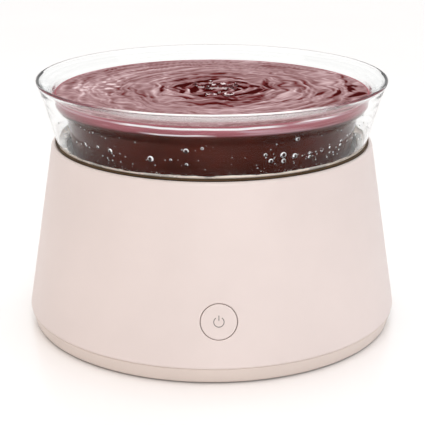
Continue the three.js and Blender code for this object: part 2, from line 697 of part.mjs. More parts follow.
const wireRoutes = {
  live_wire: ['brownWire', 1.2, 16, [
    [-7, PIN_TAIL_Y - GAP, INLET_Z - 2], [-7.5, 86, 29], [-13, 70, 18], [-16, 35, 10],
    [-16, -5, 9], [-14, -28, 12], [-12, terminalY, TERMINAL_Z],
  ]],
  neutral_wire: ['blueWire', 1.2, 16, [
    [7, PIN_TAIL_Y - GAP, INLET_Z - 2], [7.5, 86, 29], [13, 70, 18], [16, 35, 10],
    [16, -5, 9], [14, -28, 12], [12, terminalY, TERMINAL_Z],
  ]],
  earth_wire: ['earthWire', 1.2, 10, [
    [0, PIN_TAIL_Y - GAP, INLET_Z + 2], [0, 84, 32.5], [0, 72, 27], [0, 66, 29], [0, 64.5, SHIELD_Z - GAP],
  ]],
  heater_wire_1: ['whiteWire', 1.2, 15, [
    [-LEG_X, LEG_Y, LEG_BOTTOM_Z - GAP], [-LEG_X, 48, 24], [-7, 36, 17], [-6, 5, 14], [-6, -25, 15],
    [-6, terminalY, TERMINAL_Z],
  ]],
  heater_wire_2: ['whiteWire', 1.2, 15, [
    [LEG_X, LEG_Y, LEG_BOTTOM_Z - GAP], [LEG_X, 48, 24], [7, 36, 17], [6, 5, 14], [6, -25, 15],
    [6, terminalY, TERMINAL_Z],
  ]],
  sensor_lead: ['greyWire', 0.9, 15, [
    [0, 0, CUP_CROWN_Z - 2 * GAP - 4.4], [0, 0, 42], [0, 0, 34], [0, -2, 26], [0, -14, 19], [0, -30, 16.5],
    [0, terminalY, TERMINAL_Z],
  ]],
  button_lead: ['greyWire', 1.3, 10, [
    [0, -103.2, 36.2], [0, -99, 34], [0, -95, 26], [0, -92, 18], [0, -90, 13], [0, -89.8, 9.4],
  ]],
};
Object.entries(wireRoutes).forEach(([name, [material, radius, steps, points]]) => {
  add(name, tube(points, radius, steps), material);
});

// ---------------------------------------------------------------- glass bowl and wax

/** The bowl's inner surface, from the middle of its floor to just under the rim. */
function potInside() {
  const corner = arc([POT_FLOOR_R, POT_FLOOR_Z + POT_CORNER_R], POT_CORNER_R, -90, 0, 4);
  const wall = [
    [92.3, 123], [94.9, 139.5], [96, 143.2], [98.6, 146], [101.4, 148.4],
    [102.9, 151.2], [103.3, 154.4], [104.1, 157.6], [107.6, 161],
  ];
  return { corner, wall };
}

const pot = potInside();

function glassBowl() {
  const rimCentre = [RIM_R - RIM_ROUND, RIM_Z - RIM_ROUND];
  const [skirtR, skirtZ] = SKIRT_TOP;
  const footEnd = [HEEL_CENTRE[0] - 1.2, HEEL_CENTRE[1] - HEEL_R + SKIRT_WALL / 2];
  const apex = [113.2, 162.3];       // where the two walls part below the rim
  const outsideOfPot = offset([...pot.corner, ...pot.wall], POT_WALL);
  return lathe([
    [0, POT_FLOOR_Z],
    ...pot.corner,
    ...pot.wall,
    ...arc(rimCentre, RIM_ROUND, 135, -HEEL_LEAN, 3),
    [113.4, 158.2],
    [skirtR, skirtZ],
    ...arc(HEEL_CENTRE, HEEL_R, -HEEL_LEAN, -90, 3),
    ...arc(footEnd, SKIRT_WALL / 2, -90, -270, 2),
    ...arc(HEEL_CENTRE, HEEL_R - SKIRT_WALL, -90, -HEEL_LEAN, 2),
    [skirtR - SKIRT_WALL / Math.cos(HEEL_LEAN * DEG), skirtZ],
    apex,
    ...outsideOfPot.reverse(),
    [0, POT_BOTTOM_Z],
  ]);
}

function waxFill() {
  const shoulderTop = pot.wall.filter(([, z]) => z < WAX_TOP_Z - 1);
  const side = offset([[0, POT_FLOOR_Z], ...pot.corner, ...shoulderTop], -GAP);
  const edgeR = side.at(-1)[0];
  return lathe([
    [0, side[0][1]],
    ...side.slice(1),
    [edgeR - 0.2, WAX_TOP_Z - 0.9],
    [edgeR - 1.2, WAX_TOP_Z],
    [0, WAX_TOP_Z],
  ]);
}

add('glass_bowl', glassBowl(), 'glass');
add('wax_fill', waxFill(), 'wax');

export default group;
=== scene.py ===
"""Looks of the paraffin wax bath: turned shells, glass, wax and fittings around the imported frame.

Metres, +Z up, the push button at the front (-Y). The large round pieces are turned again from the
outlines of their CAD nodes, with many more segments, and everything else keeps its CAD mesh.
"""
import json
import math
import random

import bmesh
import bpy
import numpy as np
from mathutils import Matrix, Vector

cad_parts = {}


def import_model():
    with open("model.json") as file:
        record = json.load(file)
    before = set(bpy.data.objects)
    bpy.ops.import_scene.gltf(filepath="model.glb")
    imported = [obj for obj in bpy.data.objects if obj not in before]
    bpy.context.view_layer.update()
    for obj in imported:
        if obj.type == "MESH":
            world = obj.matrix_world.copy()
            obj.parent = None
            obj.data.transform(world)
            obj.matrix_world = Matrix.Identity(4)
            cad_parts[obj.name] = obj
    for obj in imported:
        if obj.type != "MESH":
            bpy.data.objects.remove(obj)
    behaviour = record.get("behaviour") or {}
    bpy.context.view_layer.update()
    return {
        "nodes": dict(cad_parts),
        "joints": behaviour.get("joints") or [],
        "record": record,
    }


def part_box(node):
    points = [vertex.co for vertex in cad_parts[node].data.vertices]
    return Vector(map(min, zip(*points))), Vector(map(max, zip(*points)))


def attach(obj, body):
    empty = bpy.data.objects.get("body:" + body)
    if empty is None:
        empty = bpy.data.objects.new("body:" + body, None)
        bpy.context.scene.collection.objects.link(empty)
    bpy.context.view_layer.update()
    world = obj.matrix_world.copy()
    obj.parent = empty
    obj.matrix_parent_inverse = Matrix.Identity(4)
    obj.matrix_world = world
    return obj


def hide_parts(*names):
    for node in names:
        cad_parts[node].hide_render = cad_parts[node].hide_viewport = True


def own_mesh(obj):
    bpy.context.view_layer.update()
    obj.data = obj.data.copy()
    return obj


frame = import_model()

MM = 0.001
SEGMENTS = 240                  # round the large turned pieces
FINE_SEGMENTS = 96              # round the button
HOLE_SEGMENTS = 48              # round holes, recesses and pads
POST_SEGMENTS = 32              # round posts and sleeves

# ---------- outlines of turned CAD nodes

WELD = 1e-6                     # corners nearer than this are one
GRID = 1e-5                     # sections are rounded to this
STRAIGHT = 0.4                  # an outline that turns less, in degrees, runs straight on
BENT = 0.5                      # and one that turns more between two points is curved there
MOST_PIECES = 8                 # of a curve between two points
PIN = 1.2 * MM                  # how far from its ends a long straight gets extra points


def section(node):
    """The outline of a turned CAD node where +X cuts it, as ordered (radius, height) points."""
    mesh = bmesh.new()
    mesh.from_mesh(frame["nodes"][node].data)
    bmesh.ops.remove_doubles(mesh, verts=mesh.verts, dist=WELD)
    everything = mesh.verts[:] + mesh.edges[:] + mesh.faces[:]
    bmesh.ops.bisect_plane(mesh, geom=everything, dist=WELD, plane_co=(0, 0, 0), plane_no=(0, 1, 0))
    near = {}
    for edge in mesh.edges:
        ends = [v.co for v in edge.verts]
        if all(abs(co.y) < 2 * WELD and co.x > -2 * WELD for co in ends):
            one, two = ((round(co.x / GRID), round(co.z / GRID)) for co in ends)
            if one != two:
                near.setdefault(one, set()).add(two)
                near.setdefault(two, set()).add(one)
    mesh.free()
    chains = []
    while near:
        chain = [min(near, key=lambda key: (len(near[key]), key))]
        while following := [key for key in sorted(near.get(chain[-1], ())) if key not in chain]:
            chain.append(following[0])
        for key in chain:
            near.pop(key, None)
        chains.append(chain)
    longest = max(chains, key=len)
    return [Vector((r * GRID, z * GRID)) for r, z in longest]


def turn_at(before, here, after):
    """How far an outline turns at a point, in degrees."""
    one, two = here - before, after - here
    return math.degrees(one.angle(two)) if one.length and two.length else 0.0


def without_straights(points, is_loop):
    kept = []
    for i, here in enumerate(points):
        at_end = not is_loop and i in (0, len(points) - 1)
        if at_end or turn_at(points[i - 1], here, points[(i + 1) % len(points)]) > STRAIGHT:
            kept.append(here)
    return kept


def rounded_corners(points, is_loop, corner, fillet):
    """Points with a flag each: True where the outline stays broken. Sharp corners get small rounds."""
    found = []
    for i, here in enumerate(points):
        if not is_loop and i in (0, len(points) - 1):
            found.append((here, True))
            continue
        before, after = points[i - 1], points[(i + 1) % len(points)]
        if turn_at(before, here, after) < corner:
            found.append((here, False))
            continue
        start = here + (before - here).normalized() * min(fillet, 0.4 * (before - here).length)
        end = here + (after - here).normalized() * min(fillet, 0.4 * (after - here).length)
        for t in (0, 0.25, 0.5, 0.75, 1):
            bend = start * (1 - t) ** 2 + here * 2 * t * (1 - t) + end * t ** 2
            found.append((bend, True))
    return found


def pinned(points, is_loop):
    """Points with extra ones near the ends of long straights, so that a curve through them stays straight."""
    found = []
    count = len(points)
    for i in range(count if is_loop else count - 1):
        (here, broken), (after, _) = points[i], points[(i + 1) % count]
        found.append((here, broken))
        length = (after - here).length
        if length > 4 * PIN:
            for reach in (PIN, length / 2, length - PIN):
                found.append((here + (after - here) * (reach / length), False))
    if not is_loop:
        found.append(points[-1])
    return found


def smooth_outline(node, corner=50, fillet=0.35 * MM, step=0.5 * MM):
    """A CAD node's outline with its faceted arcs made into curves. Returns (points, is_loop)."""
    points = section(node)
    is_loop = min(p.x for p in points) > GRID
    points = without_straights(points, is_loop)
    points = pinned(rounded_corners(points, is_loop, corner, fillet), is_loop)
    count = len(points)
    fine = []
    for i in range(count if is_loop else count - 1):
        here, broken = points[i]
        after, after_broken = points[(i + 1) % count]
        before = here if broken else points[i - 1][0]
        later = after if after_broken else points[(i + 2) % count][0]
        bends = turn_at(before, here, after) + turn_at(here, after, later)
        wanted = round((after - here).length / step)
        pieces = max(1, min(MOST_PIECES, wanted)) if bends > BENT else 1
        for k in range(pieces):
            fine.append(catmull_rom(before, here, after, later, k / pieces))
    if not is_loop:
        fine.append(points[-1][0])
    return fine, is_loop


def catmull_rom(before, here, after, later, t):
    """A point of the curve through here and after, with tangents from their neighbours."""
    span = (after - here).length
    start = tangent(before, here, after) * span
    end = tangent(here, after, later) * span
    return (
        here * (2 * t ** 3 - 3 * t ** 2 + 1) + start * (t ** 3 - 2 * t ** 2 + t)
        + after * (3 * t ** 2 - 2 * t ** 3) + end * (t ** 3 - t ** 2)
    )


def tangent(before, here, after):
    """The direction of the circle through three points, at the middle one."""
    one, two = here - before, after - here
    if one.length < 1e-9:
        return two.normalized()
    if two.length < 1e-9:
        return one.normalized()
    weighted = one.normalized() * two.length + two.normalized() * one.length
    return weighted.normalized()


# ---------- making pieces

AXIS = 1e-7                     # a ring smaller than this is a point on the axis


def link_object(name, data):
    made = bpy.data.objects.new(name, data)
    bpy.context.scene.collection.objects.link(made)
    return made


def shade(data, sharp=35):
    """Smooth shading, but for the edges that turn more than sharp degrees."""
    data.shade_smooth()
    data.set_sharp_from_angle(angle=math.radians(sharp))


def finish_mesh(mesh, name, sharp=35):
    """A bmesh as an object in the scene."""
    bmesh.ops.recalc_face_normals(mesh, faces=mesh.faces)
    data = bpy.data.meshes.new(name)
    mesh.to_mesh(data)
    mesh.free()
    shade(data, sharp)
    return link_object(name, data)


def skin(mesh, low, high):
    """Faces between two rings of corners, either of which may be a single point."""
    count = max(len(low), len(high))
    for i in range(count):
        j = (i + 1) % count
        corners = [low[i % len(low)], low[j % len(low)], high[j % len(high)], high[i % len(high)]]
        corners = list(dict.fromkeys(corners))
        if len(corners) > 2:
            mesh.faces.new(corners)


def circle(radius, count, centre=(0, 0)):
    return [
        (centre[0] + radius * math.cos(2 * math.pi * i / count),
         centre[1] + radius * math.sin(2 * math.pi * i / count))
        for i in range(count)
    ]


def add_turned(mesh, points, is_loop, segments, matrix=Matrix.Identity(4)):
    """A body turned about the vertical axis. Open outlines start and end on the axis."""
    rings = []
    for radius, height in points:
        ring = circle(radius, segments if radius > AXIS else 1)
        rings.append([mesh.verts.new(matrix @ Vector((x, y, height))) for x, y in ring])
    for low, high in zip(rings, rings[1:] + (rings[:1] if is_loop else [])):
        skin(mesh, low, high)


def turned(name, points, is_loop, sharp=35):
    mesh = bmesh.new()
    add_turned(mesh, points, is_loop, SEGMENTS)
    return finish_mesh(mesh, name, sharp)


def with_boolean(piece, tool, operation):
    """Joins or cuts a piece with a tool, and takes the tool away."""
    modifier = piece.modifiers.new(operation, "BOOLEAN")
    modifier.operation = operation
    modifier.solver = "EXACT"
    modifier.object = tool
    bpy.context.view_layer.update()
    result = piece.evaluated_get(bpy.context.evaluated_depsgraph_get())
    data = bpy.data.meshes.new_from_object(result)
    piece.modifiers.clear()
    piece.data = data
    bpy.data.objects.remove(tool)
    shade(data)


def add_loft(mesh, outlines, matrix=Matrix.Identity(4)):
    """A closed body through (outline, height) pairs. The outlines have the same number of points."""
    loops = [
        [mesh.verts.new(matrix @ Vector((x, y, height))) for x, y in outline]
        for outline, height in outlines
    ]
    mesh.faces.new(loops[0][::-1])
    mesh.faces.new(loops[-1])
    for low, high in zip(loops, loops[1:]):
        skin(mesh, low, high)


def add_prism(mesh, outline, low, high, matrix=Matrix.Identity(4)):
    add_loft(mesh, [(outline, low), (outline, high)], matrix)


def add_to(piece, parts):
    """Adds the faces of a bmesh to a piece as they are, for what is out of sight."""
    bmesh.ops.recalc_face_normals(parts, faces=parts.faces)
    whole = bmesh.new()
    whole.from_mesh(piece.data)
    added = bpy.data.meshes.new("added")
    parts.to_mesh(added)
    parts.free()
    whole.from_mesh(added)
    whole.to_mesh(piece.data)
    whole.free()
    bpy.data.meshes.remove(added)
    shade(piece.data)


def middle_of(node):
    """The place on the floor under the middle of a CAD node."""
    low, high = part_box(node)
    return (low.x + high.x) / 2, (low.y + high.y) / 2


def round_rectangle(wide, high, radius):
    steps = 6
    points = []
    for corner in range(4):
        x = (wide / 2 - radius) * (1 if corner in (0, 3) else -1)
        y = (high / 2 - radius) * (1 if corner in (0, 1) else -1)
        for k in range(steps + 1):
            angle = math.radians(90 * corner + 90 * k / steps)
            points.append((x + radius * math.cos(angle), y + radius * math.sin(angle)))
    return points


def place_piece(piece, body, slot, material, *nodes):
    """Gives a piece its material and the body it rides on, and hides the CAD nodes it stands for. Its slot is
    not used.
    """
    piece.data.materials.clear()
    piece.data.materials.append(material)
    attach(piece, body)
    if nodes:
        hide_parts(*nodes)


# ---------- material helpers


class NodeTree:
    """Shader nodes under construction."""

    def __init__(self, tree):
        self.tree = tree

    def put(self, value, socket):
        """Links a node's output to a socket, or sets the socket. Colours are given without alpha."""
        if isinstance(value, bpy.types.NodeSocket):
            self.tree.links.new(value, socket)
        elif socket.type == "RGBA":
            socket.default_value = (*value, 1)
        else:
            socket.default_value = value

    def node(self, kind, inputs=(), **settings):
        made = self.tree.nodes.new("ShaderNode" + kind)
        for key, value in settings.items():
            setattr(made, key, value)
        for key, value in dict(inputs).items():
            self.put(value, made.inputs[key])
        return made

    def axis(self, name, vector):
        return self.node("SeparateXYZ", {"Vector": vector}).outputs[name]

    def spread(self, value, low, high, to_low=0.0, to_high=1.0):
        """value taken from low..high to to_low..to_high, and held there outside."""
        made = self.node("MapRange", {
            "Value": value, "From Min": low, "From Max": high, "To Min": to_low, "To Max": to_high,
        })
        return made.outputs["Result"]

    def ramp(self, factor, stops):
        made = self.node("ValToRGB", {"Fac": factor})
        elements = made.color_ramp.elements
        while len(elements) < len(stops):
            elements.new(0.5)
        for element, (position, colour) in zip(elements, stops):
            element.position = position
            element.color = (*colour, 1)
        return made.outputs["Color"]

    def mix(self, factor, one, two):
        return self.node("Mix", {0: factor, 6: one, 7: two}, data_type="RGBA").outputs[2]

    def combined(self, operation, one, two):
        return self.node("Math", {0: one, 1: two}, operation=operation).outputs[0]

    def times(self, one, two):
        return self.combined("MULTIPLY", one, two)

    def greater_of(self, one, two):
        return self.combined("MAXIMUM", one, two)

    def between(self, value, low, high, soft):
        """1 where value lies between low and high, with soft ends of that width outside them."""
        rising = self.spread(value, low - soft, low)
        falling = self.spread(value, high, high + soft, 1, 0)
        return self.times(rising, falling)


class Surface(NodeTree):
    """A node material under construction, in the object's own coordinates in metres."""

    def __init__(self, name, **values):
        self.material = bpy.data.materials.new(name)
        self.material.use_nodes = True
        super().__init__(self.material.node_tree)
        self.shader = self.tree.nodes["Principled BSDF"]
        self.place = self.node("TexCoord").outputs["Object"]
        self.set(**values)

    def set(self, **values):
        """Sets the shader's inputs to values or to nodes' outputs."""
        for key, value in values.items():
            self.put(value, self.shader.inputs[key.replace("_", " ")])

    def stretched(self, x, y, z):
        """The place with each direction scaled, to draw a texture out along the others."""
        return self.node("Mapping", {"Vector": self.place, "Scale": (x, y, z)}).outputs["Vector"]

    def noise(self, scale, detail=3.0, roughness=0.55, place=None, distortion=0.0):
        made = self.node("TexNoise", {
            "Vector": place or self.place,
            "Scale": scale,
            "Detail": detail,
            "Roughness": roughness,
            "Distortion": distortion,
        })
        return made.outputs["Fac"]

    def uneven(self, scale, low, high, detail=2.0):
        """Noise that wanders between low and high."""
        return self.spread(self.noise(scale, detail), 0.3, 0.7, low, high)

    def shades(self, factor, colour, dark, light, low=0.3, high=0.7):
        """A colour times dark where factor is low, and times light where it is high."""
        return self.ramp(factor, [(low, tinted(colour, dark)), (high, tinted(colour, light))])

    def along(self, axis):
        return self.axis(axis, self.place)

    def normal(self):
        return self.node("TexCoord").outputs["Normal"]

    def vector(self, operation, *vectors):
        made = self.node("VectorMath", dict(enumerate(vectors)), operation=operation)
        return made.outputs["Value" if operation in ("LENGTH", "DOT_PRODUCT") else "Vector"]

    def sideways(self):
        """The place as seen from the upright axis, without its height."""
        return self.vector("MULTIPLY", self.place, (1, 1, 0))

    def bump(self, height, distance, strength=1.0):
        """Raises the surface by the height socket, where 1 stands for distance in metres."""
        made = self.node("Bump", {"Height": height, "Distance": distance, "Strength": strength})
        self.set(Normal=made.outputs["Normal"])


def tinted(colour, factor):
    return tuple(min(channel * factor, 1) for channel in colour)


# ---------- plain materials


def moulded_plastic(name, colour, rough, mottle=0.03):
    """Plastic from a spark-eroded mould: fine even grain, faint cloudiness, a little uneven gloss."""
    surface = Surface(name)
    surface.set(
        Base_Color=surface.shades(surface.noise(14, detail=4), colour, 1 - mottle, 1 + mottle),
        Roughness=surface.uneven(60, rough - 0.05, rough + 0.05, detail=5),
    )
    surface.bump(surface.noise(2600, detail=2), 0.012 * MM)
    return surface.material


def silicone(name, colour, rough, shine=0.5):
    """Soft rubber: mould flow lines round the piece, dust in the pores."""
    surface = Surface(name, Specular_IOR_Level=shine)
    lines = surface.noise(1, detail=3, place=surface.stretched(60, 60, 1500))
    surface.set(
        Base_Color=surface.shades(lines, colour, 0.75, 1.35, 0.35, 0.65),
        Roughness=surface.uneven(300, rough - 0.12, rough + 0.12, detail=4),
    )
    surface.bump(lines, 0.12 * MM)
    return surface.material


def metal(name, colour, rough, along):
    """Drawn or brushed metal: along gives how fast the brushing changes along X, Y and Z."""
    surface = Surface(name, Metallic=1.0)
    brushing = surface.noise(1, detail=4, roughness=0.7, place=surface.stretched(*along))
    stains = surface.spread(surface.noise(35, detail=5), 0.35, 0.7)
    tone = surface.mix(stains, tinted(colour, 1.04), tinted(colour, 0.86))
    surface.set(
        Base_Color=surface.mix(surface.spread(brushing, 0.3, 0.7, 0, 0.35), tone, tinted(colour, 0.7)),
        Roughness=surface.spread(brushing, 0.3, 0.7, rough - 0.08, rough + 0.12),
    )
    surface.bump(brushing, 0.01 * MM)
    return surface.material


def felt(name, colour):
    """Pressed ceramic fibre: short crossed fibres and soft lumps."""
    surface = Surface(name, Sheen_Weight=0.3)
    fibres = surface.noise(2600, detail=5, roughness=0.75, distortion=1.4)
    surface.set(
        Base_Color=surface.shades(fibres, colour, 0.72, 1.08),
        Roughness=surface.spread(fibres, 0.2, 0.8, 0.85, 1.0),
    )
    surface.bump(fibres, 0.5 * MM)
    return surface.material


def circuit_board(name):
    """Green solder mask over copper tracks, with bright pads where it is left open."""
    surface = Surface(name)
    tracks = surface.node("TexBrick", {
        "Vector": surface.place,
        "Scale": 180.0,
        "Mortar Size": 0.03,
        "Color1": (0.012, 0.13, 0.045),
        "Color2": (0.018, 0.17, 0.06),
        "Mortar": (0.035, 0.26, 0.1),
    })
    pads = surface.node("TexVoronoi", {"Vector": surface.place, "Scale": 260.0})
    is_pad = surface.spread(pads.outputs["Distance"], 0.16, 0.2, 1, 0)
    surface.set(
        Base_Color=surface.mix(is_pad, tracks.outputs["Color"], (0.62, 0.6, 0.55)),
        Roughness=surface.spread(is_pad, 0, 1, 0.35, 0.25),
    )
    surface.bump(tracks.outputs["Fac"], 0.04 * MM)
    return surface.material


def printed_ink(name, colour):
    surface = Surface(name)
    wear = surface.noise(3000, detail=3)
    surface.set(
        Base_Color=surface.shades(wear, colour, 0.8, 1.3, 0.3, 0.75),
        Roughness=surface.spread(wear, 0.3, 0.7, 0.45, 0.6),
    )
    surface.bump(wear, 0.01 * MM)
    return surface.material


# ---------- glass and what clings to it

GLASS_IOR = 1.22                # low, so that the walls hardly bend what is behind them
GLASS_SHINE = 0.35              # how much of plain glass's reflection is kept head on
GLASS_WHITE = (0.985, 0.995, 0.995)
GLASS_SHADOW = (0.93, 0.94, 0.94)
# Painted light on the glass: cream for the painted highlight line round the foot, white for the specks and
# the painted reflection band.
HEEL_HIGHLIGHT_CREAM = (0.98, 0.88, 0.78)
SPECK_AND_REFLECTION_WHITE = (0.97, 0.95, 0.95)
POT_REACH = 97.5 * MM           # outside this radius the low glass is the outer wall
BUBBLE_CORE = (0.03, 0.008, 0.007)
BUBBLE_LIGHT = (0.97, 0.95, 0.96)


def clear_glass(name):
    """Clear glass: draw lines, a painted reflection band and painted light under the rim, and specks and a
    painted highlight line low on the outer wall.
    """
    surface = Surface(name, IOR=GLASS_IOR, Specular_Tint=(GLASS_SHINE,) * 3)
    height = surface.along("Z")
    _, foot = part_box("mouth_gasket")
    # The painted reflection band, the painted highlight line round the foot and the specks make the glass
    # opaque and pale where they lie.
    specks_and_painted_light = surface.greater_of(rim_painted_light(surface, height), specks_and_heel_highlight(surface, height, foot.z))
    whiter = surface.spread(height, foot.z + 1 * MM, foot.z + 4 * MM)
    surface.set(
        Base_Color=surface.mix(specks_and_painted_light, GLASS_WHITE, surface.mix(whiter, HEEL_HIGHLIGHT_CREAM, SPECK_AND_REFLECTION_WHITE)),
        Transmission_Weight=surface.spread(specks_and_painted_light, 0, 1, 1, 0),
        Roughness=surface.spread(specks_and_painted_light, 0, 1, 0.0, 0.35),
    )
    lines = surface.noise(1, detail=2, place=surface.stretched(25, 25, 160))
    surface.bump(lines, 0.25 * MM, strength=0.35)
    let_light_through(surface)
    return surface.material


def rim_painted_light(surface, height):
    """A painted reflection: a pale band under the rim, and painted light along the rim itself, at the front.
    """
    _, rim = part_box("glass_bowl")
    front = surface.times(
        surface.between(surface.along("X"), -45 * MM, 42 * MM, 30 * MM),
        surface.spread(surface.along("Y"), -70 * MM, -90 * MM),
    )
    # Painted reflection: an opaque pale band a few millimetres under the rim, at the front only.
    reflection_band = surface.times(surface.between(height, rim.z - 4.2 * MM, rim.z - 1.7 * MM, 1 * MM), 0.17)
    lit = surface.spread(height, rim.z - 1.1 * MM, rim.z - 0.7 * MM)
    return surface.times(surface.greater_of(reflection_band, lit), front)


def specks_and_heel_highlight(surface, height, foot):
    """Droplets that thin out upward, and an uneven painted highlight line round the foot, on the outer wall
    only.
    """
    level = surface.combined("ADD", height, surface.uneven(60, -0.6 * MM, 0.6 * MM, detail=3))
    # Painted highlight: an uneven cream line just above the gasket.
    line = surface.between(level, foot - 0.6 * MM, foot + 1.0 * MM, 0.3 * MM)
    patchy = surface.spread(surface.noise(45, detail=4), 0.4, 0.5, 0.5, 1.0)
    spray = surface.spread(height, foot + 1 * MM, foot + 16 * MM, 0.64, 0.82)
    specks = surface.spread(surface.combined("SUBTRACT", surface.noise(1100, detail=3), spray), 0, 0.04)
    highlight_and_specks = surface.greater_of(surface.times(line, patchy), surface.times(specks, 0.8))
    radius = surface.vector("LENGTH", surface.sideways())
    return surface.times(highlight_and_specks, surface.spread(radius, POT_REACH, POT_REACH + 1 * MM))


def let_light_through(surface):
    """Lets the surface cast no more than a faint shadow."""
    through = surface.node("BsdfTransparent", {"Color": GLASS_SHADOW})
    mixed = surface.node("MixShader", {
        0: surface.node("LightPath").outputs["Is Shadow Ray"],
        1: surface.shader.outputs["BSDF"],
        2: through.outputs["BSDF"],
    })
    surface.put(mixed.outputs["Shader"], surface.tree.nodes["Material Output"].inputs["Surface"])


def bubble_film(name):
    """A bead of air against the glass: a painted highlight crescent round a dark core."""
    surface = Surface(name, Roughness=0.08)
    normal = surface.normal()
    outward = surface.vector("NORMALIZE", surface.sideways())
    ring = surface.spread(surface.vector("DOT_PRODUCT", normal, outward), 0.82, 0.92, 1, 0)
    up = surface.combined("SUBTRACT", surface.axis("Z", normal), surface.uneven(500, -0.7, 0.0))
    # Painted highlight: the outer, upward part of each bead is painted white.
    lit = surface.times(ring, surface.spread(up, -0.1, 0.15))
    surface.set(Base_Color=surface.mix(lit, BUBBLE_CORE, BUBBLE_LIGHT))
    return surface.material


# ---------- wax materials

WAX_BODY = (0.072, 0.011, 0.006)
# The palest colours stand for painted reflection of the bright surroundings on the ripples.
SURFACE_COLOURS_AND_SHEEN = [
    (0.0, (0.045, 0.001, 0.001)),
    (0.2, (0.13, 0.018, 0.020)),
    (0.34, (0.195, 0.083, 0.087)),
    (0.5, (0.285, 0.155, 0.162)),
    (0.66, (0.38, 0.235, 0.247)),
    (0.82, (0.50, 0.34, 0.352)),
    (1.0, (0.74, 0.58, 0.60)),
]
SHOULDER_FOOT = 149.6 * MM      # the wax is brown below this height and painted pink above it, as if lit from above through it
LIT_SHOULDER_ROSE = (0.39, 0.125, 0.148)
LIT_SHOULDER_PALE = (0.55, 0.33, 0.37)
GLINT = (0.95, 0.90, 0.92)
SHOULDER_GLINTS = [
    # height, half of its width, and where it starts and ends across, in millimetres
    (154.2, 0.5, -52, 30),
    (150.2, 0.3, -36, -12),
    (155.0, 0.35, 56, 66),
]
FILM_LIGHT = (0.95, 0.84, 0.86)


def wax_top(name):
    """The surface of the melted wax: rose and mauve streaks, with painted reflection in the palest of them,
    deep red where it is clear.
    """
    surface = Surface(name, Specular_IOR_Level=0.0, Coat_Roughness=0.06)
    streaks_and_sheen = surface.node("Attribute", attribute_name="streak_and_sheen").outputs["Fac"]
    surface.set(
        Base_Color=surface.ramp(streaks_and_sheen, SURFACE_COLOURS_AND_SHEEN),
        Roughness=surface.spread(streaks_and_sheen, 0, 1, 0.3, 0.5),
        Coat_Weight=surface.spread(streaks_and_sheen, 0.15, 0.9, 0.02, 0.2),
    )
    surface.bump(surface.noise(150, detail=2), 0.15 * MM, strength=0.3)
    return surface.material


def wax_side(name):
    """Wax against the glass: a brown-red body, and a shoulder painted pale pink as if lit from above through
    it, with painted reflections in bands and long glints above it.
    """
    surface = Surface(name, Specular_IOR_Level=0.0)
    height = surface.along("Z")
    clouds = surface.noise(22, detail=3)
    body = surface.shades(clouds, WAX_BODY, 0.85, 1.3, 0.35, 0.7)
    bands = surface.noise(1, detail=3, roughness=0.5, place=surface.stretched(16, 16, 520), distortion=0.5)
    # Painted light: the shoulder is painted lighter pink as if lit from above through the wax, and its bands
    # are painted reflections.
    lit_shoulder = surface.ramp(bands, [
        (0.36, tinted(LIT_SHOULDER_ROSE, 0.8)),
        (0.52, LIT_SHOULDER_ROSE),
        (0.68, LIT_SHOULDER_PALE),
    ])
    is_shoulder = surface.spread(height, SHOULDER_FOOT - 0.7 * MM, SHOULDER_FOOT + 0.7 * MM)
    side = surface.mix(is_shoulder, body, lit_shoulder)
    surface.set(
        Base_Color=surface.mix(glints(surface, height), side, GLINT),
        Roughness=surface.spread(clouds, 0.3, 0.7, 0.4, 0.6),
    )
    surface.bump(bands, 0.2 * MM)
    return surface.material


def glints(surface, height):
    """Long thin lines of light round the front of the shoulder."""
    level = surface.combined("ADD", height, surface.uneven(35, -0.5 * MM, 0.5 * MM))
    across = surface.along("X")
    total = 0.0
    for middle, half, start, end in SHOULDER_GLINTS:
        line = surface.between(level, (middle - half) * MM, (middle + half) * MM, 0.3 * MM)
        reach = surface.between(across, start * MM, end * MM, 12 * MM)
        total = surface.greater_of(total, surface.times(line, reach))
    return surface.times(total, surface.spread(surface.along("Y"), -20 * MM, -40 * MM))


def dark_bubble(name):
    """A film of wax over air: dark red, with a painted reflection as a white line round its foot and painted
    light on its crown.
    """
    surface = Surface(name, Specular_IOR_Level=0.0, Coat_Weight=0.15)
    stain = surface.noise(420, detail=2)
    tone = surface.ramp(stain, [(0.35, (0.02, 0.002, 0.003)), (0.7, (0.22, 0.05, 0.055))])
    up = surface.combined("ADD", surface.axis("Z", surface.normal()), surface.uneven(260, -0.14, 0.14))
    # Painted light: a reflection ring round the foot and a highlight on the crown, drawn from the normal.
    crown = surface.between(up, 0.80, 0.90, 0.05)
    foot = surface.spread(up, 0.18, 0.32, 1, 0)
    caught = surface.spread(surface.noise(130, detail=1), 0.40, 0.48, 0.1, 1)
    light = surface.times(surface.greater_of(crown, foot), caught)
    surface.set(Base_Color=surface.mix(light, tone, FILM_LIGHT))
    surface.bump(stain, 0.1 * MM)
    return surface.material


# ---------- housing

WALL_SINK = 1.5 * MM            # inner blocks end this deep in the housing's wall
HOLE_CHAMFER = 0.35 * MM
HOLE_BACK, HOLE_FRONT = -9 * MM, 4 * MM
BUTTON_SEAM = 0.45 * MM
COLLAR_REACH = 1.8 * MM         # how far the cap's collar reaches past its face
FIT_GAP = 0.3 * MM

INLET_MARGIN = 3 * MM           # how far the thickened wall reaches past the inlet
INLET_DEPTH = 9 * MM
FLANGE_DEPTH = 2.3 * MM
INLET_CORNER = 0.8 * MM

POST_RADIUS = 4.5 * MM
PILOT_RADIUS = 1.8 * MM
POST_FOOT, PILOT_TOP, POST_TOP = 15.2 * MM, 29 * MM, 34 * MM


